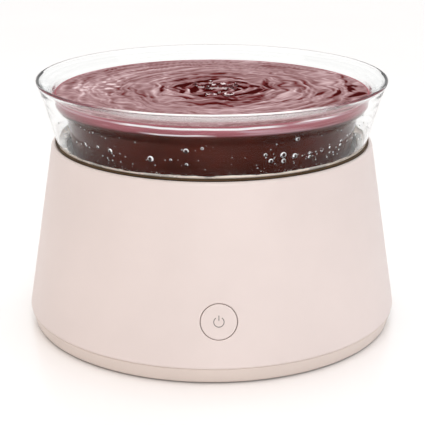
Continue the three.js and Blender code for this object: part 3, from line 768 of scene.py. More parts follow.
def cone():
    """The housing's outer cone, read from its longest straight: (radius at height 0, narrowing per metre)."""
    outline = section("housing_shell")
    low, high = max(
        zip(outline, outline[1:] + outline[:1]),
        key=lambda pair: (pair[0].x + pair[1].x) * (pair[0] - pair[1]).length,
    )
    narrowing = (low.x - high.x) / (high.y - low.y)
    return low.x + narrowing * low.y, narrowing


CONE_BASE, CONE_NARROWING = cone()


def cone_radius(height):
    return CONE_BASE - CONE_NARROWING * height


def button_frame():
    """The button's own frame: +Z out of the wall, +Y up the slope, origin on the cone's front line."""
    joint = next(j for j in frame["joints"] if j["name"] == "button_press")
    out = -Vector(joint["axis"]).normalized()
    side = Vector((1, 0, 0))
    up = out.cross(side)
    _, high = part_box("button_cap")
    rim = [v.co for v in frame["nodes"]["button_cap"].data.vertices if v.co.x > high.x - GRID]
    centre = sum(rim, Vector()) / len(rim)
    centre.x = 0
    reach = (cone_radius(centre.z) + centre.y) / (-out.y + CONE_NARROWING * out.z)
    turn = Matrix((side, up, out)).transposed().to_4x4()
    return Matrix.Translation(centre + out * reach) @ turn


BUTTON = button_frame()


def on_cone(x, y):
    """The height of the cone's surface over the button's own XY plane."""
    height = 0.0
    for _ in range(6):
        point = BUTTON @ Vector((x, y, height))
        height += cone_radius(point.z) - math.hypot(point.x, point.y)
    return height


def fitted_disc(mesh, rings):
    """Skins rings of (radius, height, follows) in the button's frame. Those that follow ride on the cone."""
    loops = [
        [mesh.verts.new(BUTTON @ Vector((x, y, height + follows * on_cone(x, y))))
         for x, y in circle(radius, FINE_SEGMENTS if radius else 1)]
        for radius, height, follows in rings
    ]
    for low, high in zip(loops, loops[1:]):
        skin(mesh, low, high)


def button_hole(radius):
    """A cutter for the hole in the wall, with a chamfer that follows the cone."""
    mesh = bmesh.new()
    fitted_disc(mesh, [
        (0, HOLE_BACK, 0),
        (radius, HOLE_BACK, 0),
        (radius, -HOLE_CHAMFER, 1),
        (radius + HOLE_CHAMFER, 0.01 * MM, 1),
        (radius + HOLE_CHAMFER, HOLE_FRONT, 0),
        (0, HOLE_FRONT, 0),
    ])
    return finish_mesh(mesh, "button_hole")


def grid_box(mesh, xs, zs, back, front):
    """A block between two heights of Y, whose front is a function of x and z."""
    near, far = (
        [[mesh.verts.new((x, y_of(x, z), z)) for x in xs] for z in zs]
        for y_of in (lambda x, z: back, front)
    )
    end_x, end_z = len(xs) - 1, len(zs) - 1
    for sheet in (near, far):
        for i in range(end_z):
            for j in range(end_x):
                mesh.faces.new([sheet[i][j], sheet[i][j + 1], sheet[i + 1][j + 1], sheet[i + 1][j]])
    rim = [(0, j) for j in range(end_x)] + [(i, end_x) for i in range(end_z)]
    rim += [(end_z, j) for j in range(end_x, 0, -1)] + [(i, 0) for i in range(end_z, 0, -1)]
    for (i, j), (k, m) in zip(rim, rim[1:] + rim[:1]):
        mesh.faces.new([near[i][j], near[k][m], far[k][m], far[i][j]])


def inlet_block():
    """The thickened wall round the inlet, its front sunk into the cone's wall."""
    low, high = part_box("power_inlet")
    mesh = bmesh.new()
    xs = np.linspace(low.x - INLET_MARGIN, high.x + INLET_MARGIN, 13)
    zs = np.linspace(low.z - INLET_MARGIN, high.z + INLET_MARGIN, 9)
    grid_box(mesh, xs, zs, high.y - INLET_DEPTH,
             lambda x, z: math.sqrt((cone_radius(z) - WALL_SINK) ** 2 - x * x))
    return finish_mesh(mesh, "inlet_block")


def inlet_pocket():
    """A cutter for the recess round the inlet's flange and the hole for its body."""
    low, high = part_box("power_inlet")
    wide, tall = high.x - low.x + 2 * FIT_GAP, high.z - low.z + 2 * FIT_GAP
    recess = round_rectangle(wide, tall, INLET_CORNER)
    hole = round_rectangle(wide - 3 * MM, tall - 4 * MM, INLET_CORNER)
    seat = FLANGE_DEPTH - high.y
    inner, outer = 12 * MM - high.y, -0.14
    upright = Matrix.Translation((0, 0, (low.z + high.z) / 2)) @ Matrix.Rotation(math.radians(90), 4, "X")
    mesh = bmesh.new()
    add_loft(mesh, [(hole, inner), (hole, seat), (recess, seat), (recess, outer)], upright)
    return finish_mesh(mesh, "inlet_pocket")


def screw_posts():
    """The four posts that the base screws go up into, each with a web to the wall."""
    post = [
        (0, PILOT_TOP),
        (PILOT_RADIUS, PILOT_TOP),
        (PILOT_RADIUS, POST_FOOT),
        (POST_RADIUS, POST_FOOT),
        (POST_RADIUS, POST_TOP),
        (0, POST_TOP),
    ]
    mesh = bmesh.new()
    for i in range(4):
        x, y = middle_of(f"base_screw_{i + 1}")
        add_turned(mesh, post, False, POST_SEGMENTS, Matrix.Translation((x, y, 0)))
        reach = math.hypot(x, y) + 4 * MM
        wall = cone_radius(POST_TOP) - WALL_SINK
        web = [(reach, -WALL_SINK), (wall, -WALL_SINK), (wall, WALL_SINK), (reach, WALL_SINK)]
        add_prism(mesh, web, POST_FOOT, POST_TOP, Matrix.Rotation(math.atan2(y, x), 4, "Z"))
    return mesh


def housing_shell(material):
    shell = turned("shell_outside", *smooth_outline("housing_shell"))
    with_boolean(shell, inlet_block(), "UNION")
    _, cap_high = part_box("button_cap")
    with_boolean(shell, button_hole(cap_high.x - COLLAR_REACH + BUTTON_SEAM), "DIFFERENCE")
    with_boolean(shell, inlet_pocket(), "DIFFERENCE")
    add_to(shell, screw_posts())
    shell.name = "housing_cone"
    place_piece(shell, "housing", "shell", material, "housing_shell")


# ---------- base tray and gasket

SHANK_RADIUS = 1.9 * MM
HEAD_RADIUS = 3.5 * MM
HEAD_SEAT = 3 * MM
TRAY_FLOOR = 3.3 * MM           # the upper side of the tray's floor
FOOT_RECESS = 2.3 * MM          # how high the feet's recesses reach
FOOT_RADIUS = 7.3 * MM
PAD_RADIUS = 9 * MM
PAD_TOP = 4.4 * MM
BOARD_POST_RADIUS = 3 * MM
BOARD_POST_TOP = 8.7 * MM
SLEEVE_TOP = 14.8 * MM
BELOW = -1 * MM                 # where the cutters start
VENT_COUNT = 9
VENT_WIDE, VENT_LONG = 3 * MM, 26 * MM
VENT_PITCH = 9 * MM
VENT_Y = 20 * MM
SEAM_SHOULDER = 1.3 * MM        # how much of the tray's height under the seam is raised
SEAM_LIFT = Vector((0.15 * MM, 0.22 * MM))
TRAY_EDGE = 119.5 * MM          # the radius where the lowered edge and the raised shoulder start
EDGE_DROP = Vector((0, 0.7 * MM))


def tray_cutters():
    """The foot recesses, the stepped screw holes and the vent slots."""
    mesh = bmesh.new()
    for i in range(4):
        recess = circle(FOOT_RADIUS, HOLE_SEGMENTS, middle_of(f"foot_{i + 1}"))
        add_prism(mesh, recess, BELOW, FOOT_RECESS)
        screw = middle_of(f"base_screw_{i + 1}")
        head, shank = (circle(radius, HOLE_SEGMENTS, screw) for radius in (HEAD_RADIUS, SHANK_RADIUS))
        add_loft(mesh, [(head, BELOW), (head, HEAD_SEAT), (shank, HEAD_SEAT), (shank, 20 * MM)])
    slot = round_rectangle(VENT_WIDE, VENT_LONG, 1.45 * MM)
    for i in range(VENT_COUNT):
        x = (i - (VENT_COUNT - 1) / 2) * VENT_PITCH
        add_prism(mesh, slot, BELOW, 8 * MM, Matrix.Translation((x, VENT_Y, 0)))
    return finish_mesh(mesh, "tray_cutters")


def tray_bosses():
    """What stands up inside the tray: sleeves round the screws, pads over the feet, and board posts."""
    sleeve = [
        (SHANK_RADIUS, TRAY_FLOOR),
        (POST_RADIUS, TRAY_FLOOR),
        (POST_RADIUS, SLEEVE_TOP),
        (SHANK_RADIUS, SLEEVE_TOP),
    ]
    mesh = bmesh.new()
    for i in range(4):
        x, y = middle_of(f"base_screw_{i + 1}")
        add_turned(mesh, sleeve, True, POST_SEGMENTS, Matrix.Translation((x, y, 0)))
        pad = circle(PAD_RADIUS, HOLE_SEGMENTS, middle_of(f"foot_{i + 1}"))
        add_prism(mesh, pad, TRAY_FLOOR, PAD_TOP)
        board_post = circle(BOARD_POST_RADIUS, POST_SEGMENTS, middle_of(f"board_screw_{i + 1}"))
        add_prism(mesh, board_post, TRAY_FLOOR, BOARD_POST_TOP)
    return mesh


def fitted_tray(outline):
    """The tray's outline with its shoulder raised almost to the shell and its edge almost to the floor."""
    seam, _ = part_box("housing_shell")
    underside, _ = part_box("base_tray")
    fitted = []
    for before, point in zip([outline[0]] + outline, outline):
        if before.x < TRAY_EDGE < point.x:
            fitted.append(Vector((TRAY_EDGE, underside.z)))
        shoulder = (point.y - seam.z) / SEAM_SHOULDER + 1
        edge = 1 - (point.y - underside.z) / (2 * MM)
        if 0 < shoulder < 1 and point.x > TRAY_EDGE:
            point = point + SEAM_LIFT * shoulder
        if 0 < edge and point.x > TRAY_EDGE:
            point = point - EDGE_DROP * min(edge, 1)
        fitted.append(point)
    return fitted


def base_tray(material):
    outline, is_loop = smooth_outline("base_tray", fillet=0.25 * MM)
    tray = turned("base_band", fitted_tray(outline), is_loop)
    with_boolean(tray, tray_cutters(), "DIFFERENCE")
    add_to(tray, tray_bosses())
    place_piece(tray, "housing", "tray", material, "base_tray")


# ---------- push button

CAP_EDGE = 0.45 * MM            # the round at the rim of the cap's face
CAP_SIDE = -3.6 * MM            # this and the next three are heights in the button's frame
COLLAR_FRONT = -4.2 * MM
COLLAR_BACK = -5.1 * MM
PLUNGER_TIP = -8 * MM
PLUNGER_RADIUS = 2.5 * MM
SYMBOL_RADIUS = 3.1 * MM
SYMBOL_LINE = 0.42 * MM
SYMBOL_LIFT = 0.03 * MM         # how far the print's faces lie off the cap's face, both ways
SYMBOL_GAP = 35                 # half of the ring's gap, in degrees


def push_button(cap_material, ink):
    _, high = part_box("button_cap")
    collar = high.x
    radius = collar - COLLAR_REACH
    mesh = bmesh.new()
    rings = [(radius * k / 10, 0, 1) for k in range(10)]
    for k in range(6):
        angle = math.radians(90 - 18 * k)
        rings.append((radius - CAP_EDGE + CAP_EDGE * math.cos(angle), CAP_EDGE * (math.sin(angle) - 1), 1))
    back = [
        (radius, CAP_SIDE),
        (radius - 1 * MM, CAP_SIDE),
        (radius - 1 * MM, COLLAR_FRONT),
        (collar - 0.2 * MM, COLLAR_FRONT),
        (collar, COLLAR_FRONT - 0.2 * MM),
        (collar, COLLAR_BACK),
        (PLUNGER_RADIUS, COLLAR_BACK),
        (PLUNGER_RADIUS, PLUNGER_TIP),
        (0, PLUNGER_TIP),
    ]
    fitted_disc(mesh, rings + [(*corner, 0) for corner in back])
    cap = finish_mesh(mesh, "button_face", sharp=50)
    place_piece(cap, "button", "button", cap_material, "button_cap")
    symbol = finish_mesh(power_symbol(), "button_symbol")
    place_piece(symbol, "button", "gasket", ink)


def power_symbol():
    """A printed ring with a gap at the top and a bar in it."""
    half = SYMBOL_LINE / 2
    turns = [math.radians(90 + SYMBOL_GAP + (360 - 2 * SYMBOL_GAP) * i / 48) for i in range(49)]
    heights = [SYMBOL_RADIUS * (0.25 + 1.05 * i / 8) for i in range(9)]
    mesh = bmesh.new()
    add_strip(mesh, *[
        [(radius * math.cos(turn), radius * math.sin(turn)) for turn in turns]
        for radius in (SYMBOL_RADIUS - half, SYMBOL_RADIUS + half)
    ])
    add_strip(mesh, *[[(x, y) for y in heights] for x in (-half, half)])
    return mesh


def add_strip(mesh, inner, outer):
    """A thin closed strip between two lines on the cap's face."""
    (low_in, low_out), (top_in, top_out) = (
        [[mesh.verts.new(BUTTON @ Vector((x, y, on_cone(x, y) + lift))) for x, y in side]
         for side in (inner, outer)]
        for lift in (-SYMBOL_LIFT, SYMBOL_LIFT)
    )
    rings = list(zip(low_in, low_out, top_out, top_in))
    for here, after in zip(rings, rings[1:]):
        skin(mesh, here, after)
    mesh.faces.new(rings[0])
    mesh.faces.new(rings[-1])


# ---------- glass bowl

RIM_FORK = 0.7                  # how far up into the rim the bowl's two walls stay parted
RIM_THICK = Vector((0.3 * MM, 1 * MM))    # from the fork, if fully raised, to the rim's top
BIG_BUBBLES = [
    # angle from the front in degrees, height and radius in millimetres
    (-37.6, 136.4, 1.35),
    (-23.6, 133.2, 1.9),
    (-42.3, 137.5, 1.0),
    (-48.5, 137.5, 1.0),
    (-10.8, 139.7, 1.6),
    (-5.4, 140.8, 0.9),
    (-11.0, 130.4, 1.0),
    (-16.0, 134.1, 0.8),
    (15.1, 138.2, 1.1),
    (21.6, 136.8, 1.9),
    (19.7, 130.9, 1.5),
    (24.5, 130.4, 1.5),
    (27.7, 133.8, 1.6),
    (29.4, 143.4, 1.4),
    (35.9, 130.2, 1.2),
    (34.7, 133.4, 1.0),
    (41.5, 136.0, 0.8),
    (46.0, 138.9, 0.9),
    (51.3, 133.3, 1.1),
]
BUBBLE_SPRAYS = [
    # angle from and to, how many, largest radius in millimetres
    (-62, -34, 26, 0.6),
    (-34, 6, 16, 0.5),
    (8, 30, 14, 0.5),
    (28, 56, 44, 0.6),
    (60, 178, 40, 0.9),
    (-178, -66, 40, 0.9),
]
SPRAY_FOOT = 128.5              # in millimetres, the height where the sprays are thickest
SPRAY_HEIGHT = 15
BEAD_STANDOFF = 0.1             # how far a bead's middle stands off the wall, in radii
BEAD_LEAN = math.radians(15)    # the wall's lean
BEAD_DEEP, BEAD_TALL = 0.65, 1.08


def bowl_outline():
    """The bowl's outline, with its walls parted almost up to the rim, so that only a thin line is solid."""
    outline, _ = smooth_outline("glass_bowl", corner=120, step=0.6 * MM)
    rim = max(outline, key=lambda p: p.y) - RIM_THICK
    inner = [i for i, p in enumerate(outline) if rim.y - 10 * MM < p.y < rim.y - 1.5 * MM]
    sharpest = max(inner, key=lambda i: turn_at(outline[i - 1], outline[i], outline[i + 1]))
    fork = outline[sharpest]
    lift = (rim - fork) * RIM_FORK
    return [p + lift if (p - fork).length < 0.4 * MM else p for p in outline]


def skirt_radius(outline, height):
    """The radius of the bowl's outer wall at a height, between the heel and the flare."""
    outer = {}
    for point in outline:
        key = round(point.y / MM)
        outer[key] = max(outer.get(key, 0), point.x)
    keys = sorted(outer)
    return float(np.interp(height / MM, keys, [outer[key] for key in keys]))


def balls(name, matrices, around, steps):
    """One piece made of a ball of radius 1 for each matrix."""
    turns = [math.pi * i / steps for i in range(steps + 1)]
    outline = [(math.sin(turn), -math.cos(turn)) for turn in turns]
    mesh = bmesh.new()
    for matrix in matrices:
        add_turned(mesh, outline, False, around, matrix)
    return finish_mesh(mesh, name, sharp=180)


def bubbles(material, outline):
    """Beads that cling to the bowl's outer wall, in one piece."""
    dice = random.Random(17)
    beads = list(BIG_BUBBLES)
    for start, end, count, largest in BUBBLE_SPRAYS:
        for _ in range(count):
            height = SPRAY_FOOT + SPRAY_HEIGHT * dice.random() ** 1.6
            beads.append((dice.uniform(start, end), height, largest * dice.uniform(0.35, 1)))
    matrices = []
    for angle, height, radius in beads:
        angle = math.radians(angle - 90)
        size = radius * MM
        reach = skirt_radius(outline, height * MM) + size * BEAD_STANDOFF
        centre = Vector((reach * math.cos(angle), reach * math.sin(angle), height * MM))
        lean = Matrix.Rotation(angle, 4, "Z") @ Matrix.Rotation(BEAD_LEAN, 4, "Y")
        squeeze = Matrix.Diagonal((BEAD_DEEP * size, size, BEAD_TALL * size, 1))
        matrices.append(Matrix.Translation(centre) @ lean @ squeeze)
    place_piece(balls("bowl_bubbles", matrices, 16, 10), "bowl", "bowl_glass", material)


# ---------- wax

WAX_RINGS = 230
WAX_SEGMENTS = 420
WAX_CLING = 0.08 * MM           # how far the wax reaches into the glass, to leave no gap
SMEAR_STEPS = 7
SPLASH = Vector((4 * MM, 2 * MM))
SPLASH_BUBBLES = [
    # x and y from the splash, radius and how far it stands up, in millimetres
    (3.3, 0, 3.3, 1.2),
    (-2.4, 1, 2.6, 1.15),
    (-6.8, 0, 1.8, 1.1),
    (-11, 5, 2.2, 1.0),
    (-15.2, 9, 1.8, 1.2),
    (-4, 18, 1.5, 1.2),
    (8.6, 2, 2.0, 1.3),
    (11.2, -1, 1.5, 1.1),
    (12.6, 9, 1.5, 1.3),
    (-5, -20, 3.8, 0.42),
    (6.6, -20, 3.9, 0.42),
    (0.6, -14, 1.3, 0.8),
]


def waves(seed, count, low, high):
    """Random plane waves with wavelengths from low to high, as (kx, ky, phase)."""
    dice = random.Random(seed)
    made = []
    for _ in range(count):
        length = low * (high / low) ** dice.random()
        angle = dice.uniform(0, 2 * math.pi)
        turn = 2 * math.pi / length
        made.append((turn * math.cos(angle), turn * math.sin(angle), dice.uniform(0, 2 * math.pi)))
    return made


def wave_sum(made, x, y):
    total = np.zeros_like(x)
    for kx, ky, phase in made:
        total += np.sin(kx * x + ky * y + phase)
    return total / math.sqrt(len(made))


def smeared(made, x, y, turn):
    """The waves smeared round the splash, which draws them out into arcs, to about 1 either way."""
    total = np.zeros_like(x)
    for angle in np.linspace(-turn, turn, SMEAR_STEPS):
        cos, sin = math.cos(angle), math.sin(angle)
        total += wave_sum(made, x * cos - y * sin, x * sin + y * cos)
    return total / (0.45 * SMEAR_STEPS)


def blob(x, y, centre_x, centre_y, wide, deep):
    """1 at a place on the wax and fading out round it, with sizes in millimetres."""
    return np.exp(-((x / MM - centre_x) / wide) ** 2 - ((y / MM - centre_y) / deep) ** 2)


def wax_surface(x, y, edge):
    """Height of the wax's ripples, and how pale each place is, from 0 to 1, where pale is partly the wax's
    own streaks and partly painted reflection and glints. x and y are rings of places.
    """
    u, v = x - SPLASH.x, y - SPLASH.y
    near = blob(u, v, 0, 0, 34, 34)
    drift = wave_sum(waves(3, 14, 18 * MM, 70 * MM), x, y)
    drift_of_ring_outside = np.roll(drift, 1, axis=0)
    bent_u, bent_v = u + 3 * MM * drift, v + 3 * MM * drift_of_ring_outside

    radius, angle = np.hypot(u, v), np.arctan2(v, u)
    warped = radius + 2.6 * MM * drift + 1.4 * MM * np.sin(2 * angle + 0.6) + 0.8 * MM * np.sin(5 * angle)
    rings = np.sin(2 * math.pi * warped / (9.5 * MM)) * (0.25 + 0.75 * near)
    slow = np.sin(2 * math.pi * warped / (14.7 * MM) + 1.2 * drift + 0.8)
    fine = smeared(waves(7, 70, 3.2 * MM, 12 * MM), bent_u, bent_v, 0.13)
    calm = np.clip((edge - np.hypot(x, y)) / (9 * MM), 0, 1)
    height = (0.16 * rings + 0.12 * slow + 0.12 * fine * (1 + near)) * MM * calm
    chop = wave_sum(waves(11, 18, 3 * MM, 8 * MM), u, v)
    height += 0.22 * MM * chop * blob(u, v, 0, 0, 15, 15)

    lines = np.exp(-(smeared(waves(19, 40, 8 * MM, 20 * MM), bent_u, bent_v, 0.22) / 0.22) ** 2)
    broad = smeared(waves(5, 16, 24 * MM, 60 * MM), u, v, 0.3)
    patches = smeared(waves(13, 40, 8 * MM, 18 * MM), bent_u, bent_v, 0.2)
    open_wax = 0.9 * blob(u, v, 0, 0, 36, 44) + 1.2 * blob(x, y, 97, 0, 10, 34)
    open_wax += 0.7 * blob(x, y, 80, -16, 14, 14)
    # Painted glints: short bright dashes in two places on the left of the wax.
    sparkle = blob(x, y, -68, 14, 7, 22) + 0.5 * blob(x, y, -88, 4, 6, 14)
    glint_waves = wave_sum(waves(17, 24, 3 * MM, 7 * MM), x * 0.6, y * 0.5)
    pale = 0.50 + 0.16 * fine + 0.07 * broad + 0.04 * slow + 0.04 * rings + 0.20 * lines
    pale -= open_wax * np.clip(2 * patches - 0.3, 0, 1) + 0.45 * blob(u, v, 0, -4, 17, 24)
    pale += sparkle * np.clip(2.4 * glint_waves - 1.3, 0, 1)
    return height, np.clip(pale, 0, 1)


def wax_outline(glass_outline, top):
    """The wax's side along the glass, up to a small meniscus, and the radius of the glass at the top."""
    rim = max(range(len(glass_outline)), key=lambda i: glass_outline[i].y)
    inside = glass_outline[rim + 1:]
    side = sorted((p for p in inside if 1 * MM < p.x and p.y < top - 0.5 * MM), key=lambda p: (p.y, p.x))
    edge = float(np.interp(top, [p.y for p in inside[::-1]], [p.x for p in inside[::-1]]))
    outline = [(p.x + WAX_CLING, p.y) for p in side]
    outline.append((edge + WAX_CLING, top + 0.35 * MM))
    outline.append((edge - 0.5 * MM, top + 0.12 * MM))
    return outline, edge


def wax_faces(rings):
    """The faces between rings of WAX_SEGMENTS places, then those to a middle place at each end."""
    here = np.arange(WAX_SEGMENTS)
    after = np.roll(here, -1)
    first = (np.arange(rings - 1) * WAX_SEGMENTS)[:, None]
    corners = [first + here, first + after, first + after + WAX_SEGMENTS, first + here + WAX_SEGMENTS]
    faces = np.stack(corners, -1).reshape(-1, 4).tolist()
    bottom = rings * WAX_SEGMENTS
    last = bottom - WAX_SEGMENTS
    faces += [[bottom, int(j), int(i)] for i, j in zip(here, after)]
    faces += [[bottom + 1, int(last + i), int(last + j)] for i, j in zip(here, after)]
    return faces


def wax(top_material, side_material, glass_outline):
    """The wax as one closed body: its side follows the glass, and its top is rippled."""
    _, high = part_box("wax_fill")
    top = high.z
    outline, edge = wax_outline(glass_outline, top)
    side_radii, side_heights = np.array(outline).T
    top_radius = side_radii[-1]
    radii = top_radius * (1 - np.arange(1, WAX_RINGS) / WAX_RINGS)
    angles = 2 * np.pi * np.arange(WAX_SEGMENTS) / WAX_SEGMENTS
    x, y = np.outer(radii, np.cos(angles)), np.outer(radii, np.sin(angles))
    side_x, side_y = np.outer(side_radii, np.cos(angles)), np.outer(side_radii, np.sin(angles))
    ripples, pale = wax_surface(x, y, edge)
    _, side_pale = wax_surface(side_x, side_y, edge)
    settle = np.clip((top_radius - radii) / (2.5 * MM), 0, 1)[:, None]
    z = top + ripples * settle + 0.12 * MM * (1 - settle)
    places = np.vstack([
        np.column_stack([side_x.ravel(), side_y.ravel(), np.repeat(side_heights, WAX_SEGMENTS)]),
        np.column_stack([x.ravel(), y.ravel(), z.ravel()]),
        [(0, 0, side_heights[0]), (0, 0, z[-1].mean())],
    ])
    rings = len(side_radii) + len(radii)
    data = bpy.data.meshes.new("melted_wax")
    data.from_pydata(places.tolist(), [], wax_faces(rings))
    data.shade_smooth()
    streak_and_sheen = data.attributes.new("streak_and_sheen", "FLOAT", "POINT")
    streak_and_sheen.data.foreach_set("value", np.hstack([side_pale.ravel(), pale.ravel(), [0, pale[-1].mean()]]))
    place_piece(link_object("melted_wax", data), "bowl", "wax", top_material, "wax_fill")
    data.materials.append(side_material)
    on_side = np.zeros(len(data.polygons), np.int32)
    on_side[:(len(side_radii) - 1) * WAX_SEGMENTS] = 1
    on_side[(rings - 1) * WAX_SEGMENTS:rings * WAX_SEGMENTS] = 1
    data.polygons.foreach_set("material_index", on_side)


def splash(material):
    """The cluster of bubbles afloat in the middle of the wax."""
    _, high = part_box("wax_fill")
    matrices = []
    for x, y, radius, lift in SPLASH_BUBBLES:
        place = Vector((SPLASH.x + x * MM, SPLASH.y + y * MM, high.z))
        size = radius * MM
        matrices.append(Matrix.Translation(place) @ Matrix.Diagonal((size, size, lift * size, 1)))
    place_piece(balls("wax_bubbles", matrices, 28, 18), "bowl", "wax", material)


# ---------- springs and the sensor's lead

COIL_STEPS = 40                 # along each turn
COIL_SIDES = 12                 # round the wire
CLOSED_PITCH = 2.05             # of the end turns, in wire radii


def coil_spring(name, node, wire, turns, material, matrix=Matrix.Identity(4)):
    """An open coil with closed end turns, in the space its CAD node holds in the frame of matrix."""
    inverse = matrix.inverted()
    places = [inverse @ v.co for v in frame["nodes"][node].data.vertices]
    low = min(p.z for p in places) + wire
    high = max(p.z for p in places) - wire
    radius = max(math.hypot(p.x, p.y) for p in places) - wire
    count = int((turns + 2) * COIL_STEPS)
    mesh = bmesh.new()
    rings = []
    for i in range(count + 1):
        t = i / count * (turns + 2)
        rise = min(max(t - 1, 0), turns) / turns
        ends = CLOSED_PITCH * wire * (min(t, 1) + max(t - turns - 1, 0))
        angle = 2 * math.pi * t
        height = low + ends + (high - low - 2 * CLOSED_PITCH * wire) * rise
        centre = Vector((radius * math.cos(angle), radius * math.sin(angle), height))
        out = Vector((math.cos(angle), math.sin(angle), 0))
        rings.append([
            mesh.verts.new(matrix @ (centre + out * across + Vector((0, 0, up))))
            for across, up in circle(wire, COIL_SIDES)
        ])
    for one, two in zip(rings, rings[1:]):
        skin(mesh, one, two)
    mesh.faces.new(rings[0][::-1])
    mesh.faces.new(rings[-1])
    spring = finish_mesh(mesh, name, sharp=50)
    place_piece(spring, "housing", "steel", material, node)
    return spring


def sensor_lead(material):
    """The sensor's lead, a copy of its CAD mesh."""
    node = frame["nodes"]["sensor_lead"]
    lead = link_object("soft_lead", node.data.copy())
    lead.matrix_world = node.matrix_world
    place_piece(lead, "housing", "wire_grey", material, "sensor_lead")
    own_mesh(lead)


def springs(steel):
    probe_spring = coil_spring("probe_spring", "sensor_spring", 0.45 * MM, 4, steel)
    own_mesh(probe_spring)
    return_spring = coil_spring("return_spring", "button_spring", 0.4 * MM, 3, steel, BUTTON)
    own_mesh(return_spring)


# ---------- studio

FLOOR_RINGS = (0, 0.5, 2, 14)   # radii in metres
FLOOR_LEVEL = -0.5 * MM
FRONT_LIGHT = 0.47              # the surroundings' light from behind the camera
BACK_LIGHT = 0.86               # and from the far side
LEFT_TINT = (0.73, 0.58, 0.48)
RIGHT_TINT = (0.83, 0.80, 0.82)
WHITE = (1, 1, 1)
OVERHEAD_LIGHT = 0.60
OVERHEAD_SPREAD = math.radians(70)
KEY_PLACE = Vector((0.05, -1.5, 0.9))
KEY_AIM = Vector((0, 0, 0.08))
KEY_SIZE = 0.9                  # metres across
KEY_POWER = 6.3                 # watts

LENS = 102.55                   # millimetres, for a sensor 36 wide
CAMERA_HEADING = math.radians(-2)
CAMERA_DISTANCE = 0.7909        # from the upright axis
CAMERA_HEIGHT = 0.3251
CAMERA_TILT = math.radians(90 - 17.9)
CAMERA_SWING = math.radians(-0.03)


def floor():
    mesh = bmesh.new()
    add_turned(mesh, [(radius, FLOOR_LEVEL) for radius in FLOOR_RINGS], False, FINE_SEGMENTS)
    made = finish_mesh(mesh, "studio_floor")
    surface = Surface("studio_floor", Roughness=0.18, IOR=2.4)
    soft = surface.noise(3, detail=2)
    surface.set(Base_Color=surface.ramp(soft, [(0.3, (0.93, 0.93, 0.93)), (0.7, (0.95, 0.95, 0.95))]))
    made.data.materials.append(surface.material)


def world():
    """White where it is looked at, also through the glass, and low down, and dimmer where it gives light."""
    made = bpy.data.worlds.new("studio")
    made.use_nodes = True
    nodes = NodeTree(made.node_tree)
    place = nodes.node("TexCoord").outputs["Generated"]
    x, y, z = (nodes.axis(name, place) for name in "XYZ")
    path = nodes.node("LightPath").outputs
    seen = nodes.greater_of(path["Is Camera Ray"], path["Is Transmission Ray"])
    seen = nodes.greater_of(seen, nodes.spread(z, 0.04, 0.18, 1, 0))
    depth_light = nodes.spread(y, -1, 1, FRONT_LIGHT, BACK_LIGHT)
    tint = nodes.mix(nodes.spread(x, -0.8, 0.8), LEFT_TINT, RIGHT_TINT)
    tint = nodes.mix(nodes.spread(y, 0.1, 0.6), tint, WHITE)
    background = made.node_tree.nodes["Background"]
    nodes.put(nodes.mix(seen, tint, WHITE), background.inputs["Color"])
    nodes.put(nodes.greater_of(seen, depth_light), background.inputs["Strength"])
    bpy.context.scene.world = made


def camera():
    data = bpy.data.cameras.new("camera")
    data.lens = LENS
    data.sensor_width = 36
    data.clip_start = 0.01
    data.clip_end = 100
    made = link_object("camera", data)
    across, back = math.sin(CAMERA_HEADING), -math.cos(CAMERA_HEADING)
    made.location = (CAMERA_DISTANCE * across, CAMERA_DISTANCE * back, CAMERA_HEIGHT)
    made.rotation_euler = (CAMERA_TILT, 0, CAMERA_HEADING + CAMERA_SWING)
    bpy.context.scene.camera = made


def lights():
    """A very wide softbox straight above, which whitens the floor, and a large lamp in front."""
    data = bpy.data.lights.new("overhead", "SUN")
    data.energy = OVERHEAD_LIGHT * math.pi
    data.angle = OVERHEAD_SPREAD
    link_object("overhead", data)

    data = bpy.data.lights.new("key", "AREA")
    data.shape = "DISK"
    data.size = KEY_SIZE
    data.energy = KEY_POWER
    key = link_object("key", data)
    key.location = KEY_PLACE
    key.rotation_euler = (KEY_AIM - KEY_PLACE).to_track_quat("-Z", "Y").to_euler()
    key.visible_camera = False


def studio():
    floor()
    world()
    camera()
    lights()
    bpy.context.scene.view_settings.view_transform = "Standard"


# ---------- the whole bath

SHELL_PINK = (0.81, 0.712, 0.682)
TRAY_PINK = (0.77, 0.67, 0.615)
# The gasket's dark brown is partly its own colour and partly painted shade for the gap between the glass and
# the lip.
GASKET_BROWN_AND_SHADE = (0.080, 0.050, 0.026)
INK_GREY = (0.05, 0.042, 0.04)
PLASTICS = {
    # colour, roughness and mottling of the inner parts
    "black_plastic": ((0.018, 0.018, 0.02), 0.45, 0.1),
    "blue_plastic": ((0.03, 0.16, 0.42), 0.4, 0.06),
    "white_plastic": ((0.75, 0.74, 0.70), 0.45, 0.03),
    "wire_brown": ((0.16, 0.06, 0.025), 0.5, 0.08),
    "wire_blue": ((0.02, 0.10, 0.40), 0.5, 0.08),
    "wire_green": ((0.28, 0.42, 0.03), 0.5, 0.08),
    "wire_white": ((0.72, 0.70, 0.65), 0.5, 0.03),
    "wire_grey": ((0.18, 0.18, 0.19), 0.5, 0.08),
}


def turned_from(node, name, body, slot, material, fillet=0.35 * MM):
    piece = turned(name, *smooth_outline(node, fillet=fillet))
    place_piece(piece, body, slot, material, node)


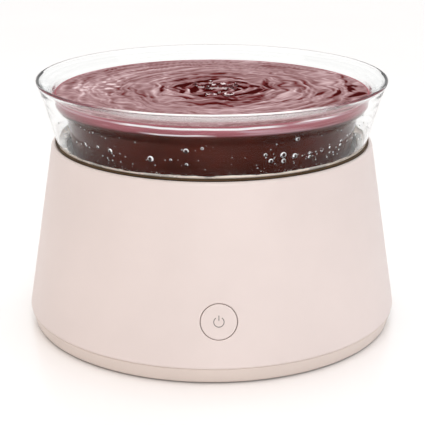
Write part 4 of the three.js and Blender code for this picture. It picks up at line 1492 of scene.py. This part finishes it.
def dress(made, material):
    """Gives a CAD node its material, and small rounds on the edges that its own mesh leaves sharp."""
    made.data.materials.clear()
    made.data.materials.append(material)
    bevel = made.modifiers.new("edges", "BEVEL")
    bevel.width = 0.25 * MM
    bevel.segments = 2
    bevel.limit_method = "ANGLE"
    bevel.angle_limit = math.radians(40)


def build():
    housing_shell(moulded_plastic("shell_plastic", SHELL_PINK, 0.42))
    base_tray(moulded_plastic("tray_plastic", TRAY_PINK, 0.5))
    rubber = silicone("gasket_silicone", GASKET_BROWN_AND_SHADE, 0.55, shine=0.1)
    turned_from("mouth_gasket", "gasket_ring", "housing", "gasket", rubber, fillet=0.4 * MM)
    push_button(moulded_plastic("button_plastic", SHELL_PINK, 0.4), printed_ink("symbol_ink", INK_GREY))

    outline = bowl_outline()
    bowl = turned("bowl_glass", outline, False, sharp=80)
    place_piece(bowl, "bowl", "bowl_glass", clear_glass("bowl_glass"), "glass_bowl")
    bubbles(bubble_film("bubble_film"), outline)
    wax(wax_top("wax_surface"), wax_side("wax_side"), outline)
    splash(dark_bubble("wax_bubble"))

    finishes = {
        "aluminium": metal("spun_aluminium", (0.70, 0.71, 0.72), 0.32, (8, 8, 900)),
        "steel": metal("bright_steel", (0.55, 0.56, 0.57), 0.34, (400, 400, 60)),
        "brass": metal("pin_brass", (0.78, 0.60, 0.30), 0.28, (500, 40, 500)),
        "felt": felt("ceramic_felt", (0.80, 0.77, 0.69)),
        "foot_rubber": silicone("foot_rubber", (0.035, 0.032, 0.03), 0.75),
        "circuit_board": circuit_board("circuit_board"),
    }
    for name, values in PLASTICS.items():
        finishes[name] = moulded_plastic(name, *values)
    turned_from("well_liner", "well_bowl", "housing", "aluminium", finishes["aluminium"])
    turned_from("sensor_cup", "sensor_cap", "sensor", "aluminium", finishes["aluminium"])
    springs(finishes["steel"])
    sensor_lead(finishes["wire_grey"])
    slots = {part["node"]: part["material_slot"] for part in frame["record"]["subparts"]}
    for node, made in frame["nodes"].items():
        if not made.hide_render:
            dress(made, finishes[slots[node]])


studio()
build()
